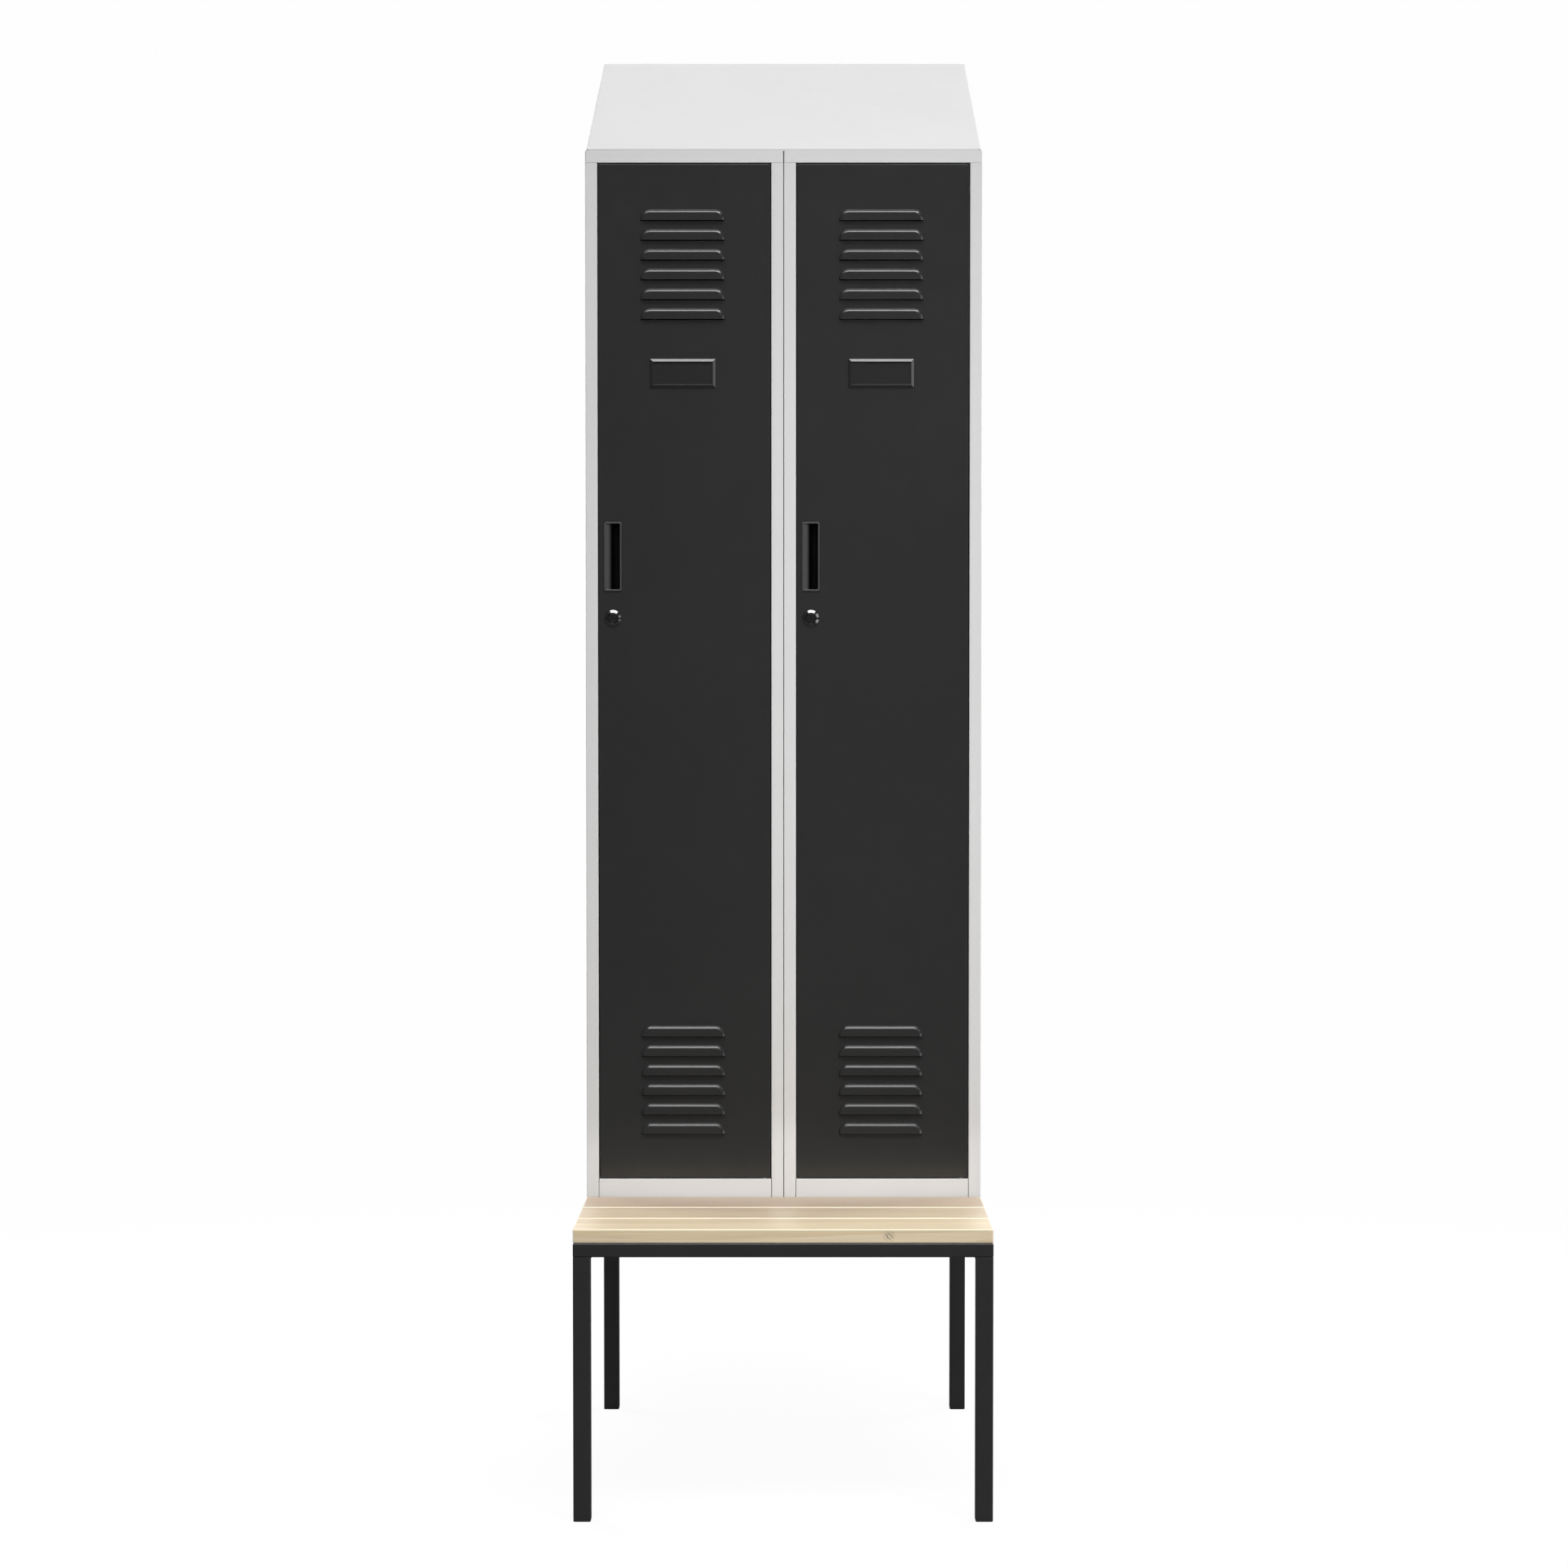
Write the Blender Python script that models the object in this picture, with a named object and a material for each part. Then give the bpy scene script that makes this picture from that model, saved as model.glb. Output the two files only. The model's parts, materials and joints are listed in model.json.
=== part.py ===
"""Two clothes lockers side by side under one sloping roof, on a tube frame with a slatted bench in front.

Metres, +Z up, seen from the front along +Y. The origin is on the floor, in the middle of the footprint.
Each locker is modelled from its own corner: u runs right from its left side, v runs back from the
cabinet's front plane and w runs up from its base. An empty stands at that corner of each locker.
"""

import math

import bmesh
import bpy
from mathutils import Vector

# Lockers
LOCKER_NAMES = ("left", "right")
LOCKER_WIDTH = 0.300
CABINET_DEPTH = 0.500
CABINET_HEIGHT = 1.605
LOCKER_SEAM = 0.0004
SHEET = 0.0008
BEND = 0.0016
FIT = 0.0003
OVERRUN = 0.004
EDGE_SHARE = 0.95

# Posts and rails round each door
POST_WIDTH = 0.0185
TOP_RAIL_HEIGHT = 0.019
TOP_EDGE_RADIUS = 0.0026
TOP_RETURN = 0.016
BOTTOM_RAIL_HEIGHT = 0.0472
REAR_FLANGE = 0.018
POST_LIP = 0.007

# Doors
DOOR_CLEARANCE = 0.0012
DOOR_END_CLEARANCE = 0.0016
DOOR_RECESS = 0.0015
DOOR_DEPTH = 0.018
DOOR_RETURN = 0.010
DOOR_STOP_GAP = 0.0005
DOOR_CORNER_RADIUS = 0.0012

# Louvres, a column at each end of the door
LOUVRE_COUNT = 6
LOUVRE_PITCH = 0.0297
LOUVRE_WIDTH = 0.127
LOUVRE_HEIGHT = 0.0156
LOUVRE_ROUND = 0.0145
LOUVRE_RISE = 0.0045
LOUVRE_BEVEL = 0.0022
LOUVRE_LANCE = 0.0003
LOUVRE_TOP_MARGIN = 0.0708
LOUVRE_BOTTOM_MARGIN = 0.0690
FITTING_SHIFT = -0.0024

# Door stiffener
STIFFENER_FLANGE = 0.015
STIFFENER_WIDTH = 0.036
STIFFENER_DEPTH = 0.009
STIFFENER_MARGIN = 0.035

# Label frame
LABEL_WIDTH = 0.099
LABEL_HEIGHT = 0.0436
LABEL_BELOW_OPENING = 0.3165
LABEL_BEVEL = 0.0042
LABEL_CREST = 0.0003
LABEL_EDGE = 0.0006
LABEL_THICKNESS = 0.0030
LABEL_RECESS = 0.0022

# Pull handle, a cup let into the door
LATCH_LINE = 0.0413
HANDLE_CENTRE = 0.9932
HANDLE_HEIGHT = 0.1047
HANDLE_WIDTH = 0.0265
HANDLE_FLANGE = 0.0026
HANDLE_FLANGE_THICKNESS = 0.0012
HANDLE_WALL = 0.0012
HANDLE_DEPTH = 0.0140
HANDLE_SCOOP = 0.0125
HANDLE_RAMP_DEPTH = 0.0052
HANDLE_DRAFT = 0.0008
HANDLE_CORNER_RADIUS = 0.002

# Cam lock
LOCK_CENTRE = 0.900
BEZEL_RADIUS = 0.0125
BEZEL_THICKNESS = 0.0032
BEZEL_EDGE = 0.0008
BEZEL_LAND = 0.0003
BARREL_RADIUS = 0.0095
PLUG_RADIUS = 0.0078
PLUG_SET_IN = 0.0006
PLUG_BOSS = 0.007
PLUG_BOSS_OVERHANG = 0.0012
KEYWAY_WIDTH = 0.0016
KEYWAY_HEIGHT = 0.0085
KEYWAY_DEPTH = 0.007
NUT_WIDTH = 0.024
NUT_THICKNESS = 0.0035
CAM_LENGTH = 0.030
CAM_WIDTH = 0.014
CAM_THICKNESS = 0.0022
CAM_CLEARANCE = 0.001
TURNING_GAP = 0.0004

# Hinge pins, hidden in the hinge edge of the door
HINGE_FROM_EDGE = 0.010
HINGE_FROM_FACE = 0.004
PIN_RADIUS = 0.0025
PIN_HEAD_RADIUS = 0.0042
PIN_HEAD_THICKNESS = 0.002
PIN_REACH = 0.012

# Fittings inside each locker
SHELF_BELOW_TOP = 0.300
SHELF_FLANGE = 0.022
SHELF_FRONT = 0.040
RAIL_BELOW_SHELF = 0.045
RAIL_RADIUS = 0.0095
RAIL_WALL = 0.0012
RAIL_CUP_RADIUS = 0.0165
RAIL_CUP_THICKNESS = 0.003
HOOK_BELOW_SHELF = 0.110
HOOK_PLATE = 0.036
HOOK_REACH = 0.026
HOOK_TIP = 0.018
HOOK_WIDTH = 0.014
HOOK_THICKNESS = 0.0025
HOOK_BEND = 0.006

# Roof
ROOF_RISE = 0.225
ROOF_INSET = 0.0022
ROOF_SHEET = 0.001
ROOF_EDGE = 0.014
ROOF_EDGE_RADIUS = 0.003
ROOF_FLANGE = 0.015

# Bench frame
FRAME_TOP = 0.400
FRAME_SETBACK = 0.018
TUBE = 0.025
RAIL_HEIGHT = 0.020
TUBE_WALL = 0.0015
TUBE_CORNER = 0.002
WELD_GAP = 0.0004
CROSS_RAIL_SETBACK = 0.012
FOOT_THICKNESS = 0.003
FOOT_EASE = 0.001
FOOT_PLUG = 0.018
FOOT_WALL = 0.002

# Bench seat
SLAT_COUNT = 3
SLAT_WIDTH = 0.106
SLAT_THICKNESS = 0.020
SLAT_GAP = 0.006
SLAT_TO_CABINET = 0.005
SLAT_ROUND = 0.002

# Facets
BEND_STEPS = 3
CORNER_STEPS = 3
LOUVRE_STEPS = 5
SCOOP_STEPS = 5
TURNED_STEPS = 24
PIN_STEPS = 12

# Places that follow from the sizes above
WIDTH = LOCKER_WIDTH * len(LOCKER_NAMES)
BENCH_DEPTH = SLAT_COUNT * SLAT_WIDTH + (SLAT_COUNT - 1) * SLAT_GAP + SLAT_TO_CABINET
DEPTH = BENCH_DEPTH + CABINET_DEPTH
LEFT = -WIDTH / 2
FRONT = -DEPTH / 2
CABINET_FRONT = FRONT + BENCH_DEPTH
FRAME_REAR = CABINET_FRONT + CABINET_DEPTH - FRAME_SETBACK
RAIL_BOTTOM = FRAME_TOP - RAIL_HEIGHT
SIDE_U = LOCKER_SEAM / 2
SIDE_TOP = CABINET_HEIGHT - TOP_RAIL_HEIGHT - FIT
DOOR_LEFT = SIDE_U + POST_WIDTH + DOOR_CLEARANCE
DOOR_RIGHT = LOCKER_WIDTH - DOOR_LEFT
DOOR_LOW = BOTTOM_RAIL_HEIGHT + DOOR_END_CLEARANCE
DOOR_HIGH = CABINET_HEIGHT - TOP_RAIL_HEIGHT - DOOR_END_CLEARANCE
DOOR_BACK = DOOR_RECESS + DOOR_DEPTH
STOP_FACE = DOOR_BACK + DOOR_STOP_GAP
CAM_FRONT = STOP_FACE + SHEET + CAM_CLEARANCE
HINGE_U = DOOR_RIGHT - HINGE_FROM_EDGE
HINGE_V = DOOR_RECESS + HINGE_FROM_FACE
FITTING_U = LOCKER_WIDTH / 2 + FITTING_SHIFT
LOUVRE_HIGH = CABINET_HEIGHT - TOP_RAIL_HEIGHT - LOUVRE_TOP_MARGIN
LOUVRE_LOW = BOTTOM_RAIL_HEIGHT + LOUVRE_BOTTOM_MARGIN
LABEL_CENTRE = CABINET_HEIGHT - TOP_RAIL_HEIGHT - LABEL_BELOW_OPENING
SHELF_TOP = CABINET_HEIGHT - TOP_RAIL_HEIGHT - SHELF_BELOW_TOP
INNER_BACK = CABINET_DEPTH - SHEET - FIT - SHEET - FIT

# Outlines


def arc(centre, radius, start, turn, steps):
    """Points on a circle from one angle through a turn, both in degrees."""
    angles = [math.radians(start + turn * k / steps) for k in range(steps + 1)]
    return [(centre[0] + radius * math.cos(a), centre[1] + radius * math.sin(a)) for a in angles]


def circle(radius, steps, centre=(0, 0)):
    return arc(centre, radius, 0, 360, steps)[:-1]


def rectangle(low, high, radius=0, steps=CORNER_STEPS):
    """Corners anticlockwise from the lower left, each rounded where a radius is given."""
    if not radius:
        return [(low[0], low[1]), (high[0], low[1]), (high[0], high[1]), (low[0], high[1])]
    centres = rectangle((low[0] + radius, low[1] + radius), (high[0] - radius, high[1] - radius))
    quarters = [arc(c, radius, 180 + 90 * k, 90, steps) for k, c in enumerate(centres)]
    return [point for quarter in quarters for point in quarter]


def square_ring(half, steps):
    """A square with as many points as the circle it meets."""
    points = []
    for x, y in circle(half, steps):
        reach = half / max(abs(x), abs(y))
        points.append((x * reach, y * reach))
    return points


def inset(outline, distance):
    """The anticlockwise outline moved inwards by a distance, with mitred corners."""
    moved = []
    for k, point in enumerate(outline):
        here = Vector(point)
        before = (here - Vector(outline[k - 1])).normalized()
        after = (Vector(outline[(k + 1) % len(outline)]) - here).normalized()
        inward = Vector((-before.y - after.y, before.x + after.x)).normalized()
        reach = distance / inward.dot(Vector((-after.y, after.x)))
        moved.append(tuple(here + inward * reach))
    return moved


def folded(path, thickness, bend, side=1, steps=BEND_STEPS):
    """The outline of a sheet folded along a path, one of its faces. The other lies left, or right at -1."""
    corners = [Vector(p) for p in path]
    runs = [(b - a).normalized() for a, b in zip(corners, corners[1:])]
    face = [(corners[0], Vector((-runs[0].y, runs[0].x)))]
    for corner, before, after in zip(corners[1:], runs, runs[1:]):
        turn = math.atan2(before.cross(after), before.dot(after))
        radius = bend if turn * side > 0 else bend - thickness
        start = corner - before * radius * math.tan(abs(turn) / 2)
        hand = math.copysign(1, turn)
        normal = Vector((-before.y, before.x)) * hand
        centre = start + normal * radius
        for k in range(steps + 1):
            part = turn * k / steps
            spun = Vector((
                normal.x * math.cos(part) - normal.y * math.sin(part),
                normal.x * math.sin(part) + normal.y * math.cos(part),
            ))
            face.append((centre - spun * radius, spun * hand))
    face.append((corners[-1], Vector((-runs[-1].y, runs[-1].x))))
    other = [point + normal * thickness * side for point, normal in face]
    return [tuple(point) for point, _ in face] + [tuple(point) for point in reversed(other)]


# Solids


def along_x(outline, x):
    return [(x, a, b) for a, b in outline]


def along_y(outline, y):
    return [(a, y, b) for a, b in outline]


def along_z(outline, z):
    return [(a, b, z) for a, b in outline]


def add_bands(bm, loops, closed):
    """Joins each loop to the next, then fills both ends, or joins the last to the first where closed."""
    rings = [[bm.verts.new(point) for point in loop] for loop in loops]
    pairs = list(zip(rings, rings[1:]))
    if closed:
        pairs.append((rings[-1], rings[0]))
    else:
        bm.faces.new(rings[0])
        bm.faces.new(rings[-1])
    for one, two in pairs:
        for k in range(len(one)):
            after = (k + 1) % len(one)
            bm.faces.new((one[k], one[after], two[after], two[k]))


def solid(*bodies, closed=False):
    """One mesh from one or more stacks of loops."""
    bm = bmesh.new()
    for loops in bodies:
        add_bands(bm, loops, closed)
    bmesh.ops.recalc_face_normals(bm, faces=bm.faces)
    mesh = bpy.data.meshes.new("piece")
    bm.to_mesh(mesh)
    bm.free()
    return mesh


def block(low, high):
    """The loops of a box between two corners."""
    outline = rectangle(low[:2], high[:2])
    return [along_z(outline, low[2]), along_z(outline, high[2])]


def rounded_edge(outline, place, outer, inward, radius, steps=BEND_STEPS):
    """Loops that carry a face round into the wall at its edge, from the face inwards along one axis."""
    loops = []
    for k in range(steps + 1):
        angle = math.radians(90 * k / steps)
        depth = radius * (1 - math.cos(angle))
        loops.append(place(inset(outline, radius * (1 - math.sin(angle))), outer + inward * depth))
    return loops


def linear(share):
    return share / 12.92 if share <= 0.04045 else ((share + 0.055) / 1.055) ** 2.4


def material(name, hex_colour, roughness, metallic=0.0):
    made = bpy.data.materials.new(name)
    made.use_nodes = True
    shader = made.node_tree.nodes["Principled BSDF"]
    shares = [linear(int(hex_colour[k : k + 2], 16) / 255) for k in (0, 2, 4)]
    shader.inputs["Base Color"].default_value = (*shares, 1)
    shader.inputs["Roughness"].default_value = roughness
    shader.inputs["Metallic"].default_value = metallic
    made.diffuse_color = (*shares, 1)
    return made


def add(name, mesh, finish, parent=None, at=(0, 0, 0), smooth=None):
    """An object from a mesh, at a place under its parent, shaded smooth below an angle where one is given."""
    piece = bpy.data.objects.new(name, mesh)
    bpy.context.scene.collection.objects.link(piece)
    if finish is not None and not mesh.materials:
        mesh.materials.append(finish)
    if smooth:
        mesh.shade_smooth()
        mesh.set_sharp_from_angle(angle=math.radians(smooth))
    piece.parent = parent
    piece.location = at
    return piece


def empty(name, at, parent=None):
    made = bpy.data.objects.new(name, None)
    bpy.context.scene.collection.objects.link(made)
    made.empty_display_size = TUBE
    made.parent = parent
    made.location = at
    return made


def combine(piece, mesh, operation):
    """Cuts a helper mesh from a piece, or joins it on, with the helper in the piece's own place."""
    helper = add(f"{piece.name}_{operation.lower()}_helper", mesh, None, piece)
    helper.hide_render = True
    helper.display_type = "WIRE"
    change = piece.modifiers.new(helper.name, "BOOLEAN")
    change.operation = operation
    change.solver = "EXACT"
    change.object = helper


# Bench


def mitred_rail(section, start, end, place):
    """A tube with cut ends: the place of an end may depend on the section's first axis."""
    inner = inset(section, TUBE_WALL)
    return solid(
        [
            place(section, start),
            place(section, end),
            place(inner, end),
            place(inner, start),
        ],
        closed=True,
    )


def add_bench_frame(finish, foot_finish):
    rear_length = DEPTH - FRAME_SETBACK

    def front_place(section, side):
        return [(side * (WIDTH / 2 - a - WELD_GAP), a, b) for a, b in section]

    def side_place(section, far):
        return [(a, rear_length - a if far else a, b) for a, b in section]

    section = rectangle((0, 0), (TUBE, RAIL_HEIGHT), TUBE_CORNER)
    long_rail = mitred_rail(section, -1, 1, front_place)
    add("bench_front_rail", long_rail, finish, at=(0, FRONT, RAIL_BOTTOM), smooth=40)
    rear = add("bench_rear_rail", long_rail, finish, at=(0, FRAME_REAR, RAIL_BOTTOM))
    rear.rotation_euler.z = math.pi
    side_rail = mitred_rail(section, False, True, side_place)
    add("bench_left_side_rail", side_rail, finish, at=(LEFT, FRONT, RAIL_BOTTOM), smooth=40)
    right = add("bench_right_side_rail", side_rail, finish, at=(-LEFT, FRAME_REAR, RAIL_BOTTOM))
    right.rotation_euler.z = math.pi

    reach = WIDTH / 2 - TUBE - WELD_GAP
    cross = mitred_rail(section, -reach, reach, along_x)
    add("bench_cross_rail", cross, finish, at=(0, CABINET_FRONT + CROSS_RAIL_SETBACK, RAIL_BOTTOM), smooth=40)

    leg_section = rectangle((0, 0), (TUBE, TUBE), TUBE_CORNER)
    leg = mitred_rail(leg_section, FOOT_THICKNESS + FIT, RAIL_BOTTOM - WELD_GAP, along_z)
    foot = foot_cap_mesh(leg_section)
    for depth_name, y in (("front", FRONT), ("rear", FRAME_REAR - TUBE)):
        for side_name, x in (("left", LEFT), ("right", -LEFT - TUBE)):
            add(f"bench_{depth_name}_{side_name}_leg", leg, finish, at=(x, y, 0), smooth=40)
            add(f"bench_{depth_name}_{side_name}_foot_cap", foot, foot_finish, at=(x, y, 0), smooth=40)


def foot_cap_mesh(leg_section):
    """A pad under the tube with a hollow plug that goes up into it."""
    near = TUBE_WALL + FIT
    plug = rectangle((near, near), (TUBE - near, TUBE - near), TUBE_CORNER - TUBE_WALL)
    near += FOOT_WALL
    hollow = rectangle((near, near), (TUBE - near, TUBE - near), TUBE_CORNER - TUBE_WALL)
    top = FOOT_THICKNESS + FOOT_PLUG
    return solid([
        along_z(inset(leg_section, FOOT_EASE), 0),
        along_z(leg_section, FOOT_EASE),
        along_z(leg_section, FOOT_THICKNESS),
        along_z(plug, FOOT_THICKNESS),
        along_z(plug, top),
        along_z(hollow, top),
        along_z(hollow, FOOT_THICKNESS),
    ])


def add_slats(finish):
    """Boards with every long edge and end rounded over."""
    outline = rectangle((0, 0), (SLAT_WIDTH, SLAT_THICKNESS), SLAT_ROUND)
    eased = inset(outline, SLAT_ROUND / 2)
    near = SLAT_ROUND / 2
    mesh = solid([
        along_x(eased, -WIDTH / 2),
        along_x(outline, -WIDTH / 2 + near),
        along_x(outline, WIDTH / 2 - near),
        along_x(eased, WIDTH / 2),
    ])
    names = ("front", "middle", "rear")
    for k in range(SLAT_COUNT):
        name = names[k] if SLAT_COUNT == len(names) else str(k + 1)
        y = FRONT + k * (SLAT_WIDTH + SLAT_GAP)
        add(f"bench_{name}_slat", mesh, finish, at=(0, y, FRAME_TOP + FIT), smooth=40)


# Cabinet shell


def side_panel_mesh(hinge_side):
    """Side wall, rear flange and front post in one folded sheet. The latch side's lip is a door stop."""
    lip_end = POST_WIDTH - POST_LIP if hinge_side else POST_WIDTH + POST_LIP
    lip_face = STOP_FACE + SHEET if hinge_side else STOP_FACE
    path = [
        (REAR_FLANGE, CABINET_DEPTH),
        (0, CABINET_DEPTH),
        (0, 0),
        (POST_WIDTH, 0),
        (POST_WIDTH, lip_face),
        (lip_end, lip_face),
    ]
    outline = folded(path, SHEET, BEND)
    if hinge_side:
        outline = [(-u, v) for u, v in outline]
    return solid([along_z(outline, FIT), along_z(outline, SIDE_TOP)])


def back_panel_mesh():
    """A flat sheet inside the rear flanges of the two sides."""
    edge = SIDE_U + SHEET + FIT + BEND
    return solid(block(
        (edge, CABINET_DEPTH - SHEET - FIT - SHEET, FIT),
        (LOCKER_WIDTH - edge, CABINET_DEPTH - SHEET - FIT, SIDE_TOP),
    ))


def floor_mesh():
    """The floor and the bottom rail: a tray turned over, narrow between the posts and wide behind them."""
    post = SIDE_U + POST_WIDTH + FIT
    wall = SIDE_U + SHEET + FIT
    lip = SIDE_U + POST_WIDTH + POST_LIP + FIT
    shoulder = STOP_FACE + SHEET + FIT
    outline = [
        (post, 0),
        (LOCKER_WIDTH - post, 0),
        (LOCKER_WIDTH - post, shoulder),
        (LOCKER_WIDTH - wall, shoulder),
        (LOCKER_WIDTH - wall, INNER_BACK),
        (wall, INNER_BACK),
        (wall, shoulder),
        (lip, shoulder),
        (lip, STOP_FACE - FIT),
        (post, STOP_FACE - FIT),
    ]
    inner = inset(outline, SHEET)
    top = BOTTOM_RAIL_HEIGHT
    return solid([
        *rounded_edge(outline, along_z, top, -1, BEND / 2, 2),
        along_z(outline, FIT),
        along_z(inner, FIT),
        along_z(inner, top - SHEET),
    ])


def top_mesh():
    """The lid that closes the locker and makes its top rail, with its lower edge returned over the posts."""
    corners = (SIDE_U, 0), (LOCKER_WIDTH - SIDE_U, CABINET_DEPTH)
    outline = rectangle(*corners, TOP_EDGE_RADIUS)
    low = CABINET_HEIGHT - TOP_RAIL_HEIGHT
    mouth = inset(rectangle(*corners, TOP_RETURN + BEND), TOP_RETURN)
    chamber = inset(outline, SHEET)
    return solid([
        *rounded_edge(outline, along_z, CABINET_HEIGHT, -1, TOP_EDGE_RADIUS * EDGE_SHARE),
        along_z(outline, low),
        along_z(mouth, low),
        along_z(mouth, low + SHEET),
        along_z(chamber, low + SHEET),
        along_z(chamber, CABINET_HEIGHT - TOP_EDGE_RADIUS),
        along_z(inset(outline, TOP_EDGE_RADIUS * EDGE_SHARE), CABINET_HEIGHT - SHEET),
    ])


def shelf_mesh():
    """A tray turned over, with its edges folded down for stiffness."""
    wall = SIDE_U + SHEET + FIT
    outline = rectangle((wall, SHELF_FRONT), (LOCKER_WIDTH - wall, INNER_BACK), BEND)
    inner = inset(outline, SHEET)
    return solid([
        *rounded_edge(outline, along_z, SHELF_TOP, -1, BEND / 2, 2),
        along_z(outline, SHELF_TOP - SHELF_FLANGE),
        along_z(inner, SHELF_TOP - SHELF_FLANGE),
        along_z(inner, SHELF_TOP - SHEET),
    ])


def coat_rail_mesh():
    """A tube with a cup at each end that fixes it to the side walls."""
    end = LOCKER_WIDTH - SIDE_U - SHEET - FIT
    start = LOCKER_WIDTH - end
    cup = circle(RAIL_CUP_RADIUS, PIN_STEPS * 2)
    tube = circle(RAIL_RADIUS, PIN_STEPS * 2)
    bore = circle(RAIL_RADIUS - RAIL_WALL, PIN_STEPS * 2)
    return solid(
        [
            along_x(cup, start),
            along_x(cup, start + RAIL_CUP_THICKNESS),
            along_x(tube, start + RAIL_CUP_THICKNESS),
            along_x(tube, end - RAIL_CUP_THICKNESS),
            along_x(cup, end - RAIL_CUP_THICKNESS),
            along_x(cup, end),
            along_x(bore, end),
            along_x(bore, start),
        ],
        closed=True,
    )


def hook_mesh():
    """A strip bent to a J, its plate flat on the wall."""
    path = [(0, HOOK_PLATE), (0, 0), (HOOK_REACH, 0), (HOOK_REACH, HOOK_TIP)]
    outline = folded(path, HOOK_THICKNESS, HOOK_BEND)
    return solid([along_y(outline, -HOOK_WIDTH / 2), along_y(outline, HOOK_WIDTH / 2)])


def pin_mesh(collar):
    """A headed pin, head at zero and shank upwards. A collar under the door's edge carries its weight."""
    shank = circle(PIN_RADIUS, PIN_STEPS)
    head = circle(PIN_HEAD_RADIUS, PIN_STEPS)
    seat = PIN_HEAD_THICKNESS + FIT + SHEET
    loops = [along_z(head, 0), along_z(head, PIN_HEAD_THICKNESS), along_z(shank, PIN_HEAD_THICKNESS)]
    if collar:
        loops += [
            along_z(shank, seat + FIT),
            along_z(head, seat + FIT),
            along_z(head, seat + DOOR_END_CLEARANCE - FIT),
            along_z(shank, seat + DOOR_END_CLEARANCE - FIT),
        ]
    loops.append(along_z(shank, seat + DOOR_END_CLEARANCE + PIN_REACH))
    return solid(loops)


def pin_hole(u, v, low, high):
    ring = circle(PIN_RADIUS + FIT, PIN_STEPS, (u, v))
    return solid([along_z(ring, low - OVERRUN / 8), along_z(ring, high + OVERRUN / 8)])


def add_cabinet(name, locker, finishes):
    grey, steel = finishes["grey"], finishes["steel"]
    add(f"{name}_cabinet_latch_side", side_panel_mesh(False), grey, locker, (SIDE_U, 0, 0), 30)
    add(f"{name}_cabinet_hinge_side", side_panel_mesh(True), grey, locker, (LOCKER_WIDTH - SIDE_U, 0, 0), 30)
    add(f"{name}_cabinet_back", back_panel_mesh(), grey, locker)
    floor = add(f"{name}_cabinet_floor", floor_mesh(), grey, locker, smooth=30)
    combine(floor, pin_hole(HINGE_U, HINGE_V, BOTTOM_RAIL_HEIGHT - SHEET, BOTTOM_RAIL_HEIGHT), "DIFFERENCE")
    top = add(f"{name}_cabinet_top", top_mesh(), grey, locker, smooth=30)
    top_low = CABINET_HEIGHT - TOP_RAIL_HEIGHT
    combine(top, pin_hole(HINGE_U, HINGE_V, top_low, top_low + SHEET), "DIFFERENCE")
    add(f"{name}_hat_shelf", shelf_mesh(), grey, locker, smooth=30)
    rail_at = (0, (SHELF_FRONT + INNER_BACK) / 2, SHELF_TOP - RAIL_BELOW_SHELF)
    add(f"{name}_coat_rail", coat_rail_mesh(), steel, locker, rail_at, 40)
    hook = hook_mesh()
    wall = SIDE_U + SHEET + FIT
    hook_height = SHELF_TOP - HOOK_BELOW_SHELF
    add(f"{name}_coat_hook_latch_side", hook, steel, locker, (wall, rail_at[1], hook_height), 40)
    turned_at = (LOCKER_WIDTH - wall, rail_at[1], hook_height)
    turned = add(f"{name}_coat_hook_hinge_side", hook, steel, locker, turned_at)
    turned.rotation_euler.z = math.pi
    lower_at = (HINGE_U, HINGE_V, BOTTOM_RAIL_HEIGHT - SHEET - FIT - PIN_HEAD_THICKNESS)
    add(f"{name}_hinge_pin_lower", pin_mesh(True), steel, locker, lower_at, 40)
    upper_at = (HINGE_U, HINGE_V, top_low + SHEET + FIT + PIN_HEAD_THICKNESS)
    upper = add(f"{name}_hinge_pin_upper", pin_mesh(False), steel, locker, upper_at, 40)
    upper.rotation_euler.x = math.pi


# Doors


def louvre_outline(width, height, radius, low):
    """Flat along the bottom, with both upper corners rounded nearly to quarter circles."""
    half = width / 2
    right = arc((half - radius, low + height - radius), radius, 0, 90, LOUVRE_STEPS)
    left = arc((radius - half, low + height - radius), radius, 90, 90, LOUVRE_STEPS)
    return [(-half, low), (half, low), *right, *left]


def louvre_loops(u, low, face, hollow):
    """The hood pressed out of the sheet, or the hollow under it, which runs out through the lower edge."""
    wall = SHEET if hollow else 0
    drop = LOUVRE_LANCE if hollow else 0
    root = face + SHEET + OVERRUN if hollow else face + SHEET / 2
    width = LOUVRE_WIDTH - 2 * wall
    height = LOUVRE_HEIGHT - wall + drop
    radius = LOUVRE_ROUND - wall
    base = louvre_outline(width, height, radius, low - drop)
    raised = louvre_outline(
        width - 2 * LOUVRE_BEVEL, height - LOUVRE_BEVEL, radius - LOUVRE_BEVEL, low - drop
    )
    base, raised = ([(u + a, b) for a, b in outline] for outline in (base, raised))
    front = face - LOUVRE_RISE + wall
    shoulder = front + LOUVRE_BEVEL
    return [along_y(base, root), along_y(base, shoulder), along_y(raised, front)]


def louvre_lows():
    high = [LOUVRE_HIGH - LOUVRE_HEIGHT - k * LOUVRE_PITCH for k in range(LOUVRE_COUNT)]
    low = [LOUVRE_LOW + k * LOUVRE_PITCH for k in range(LOUVRE_COUNT)]
    return high + low


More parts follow.
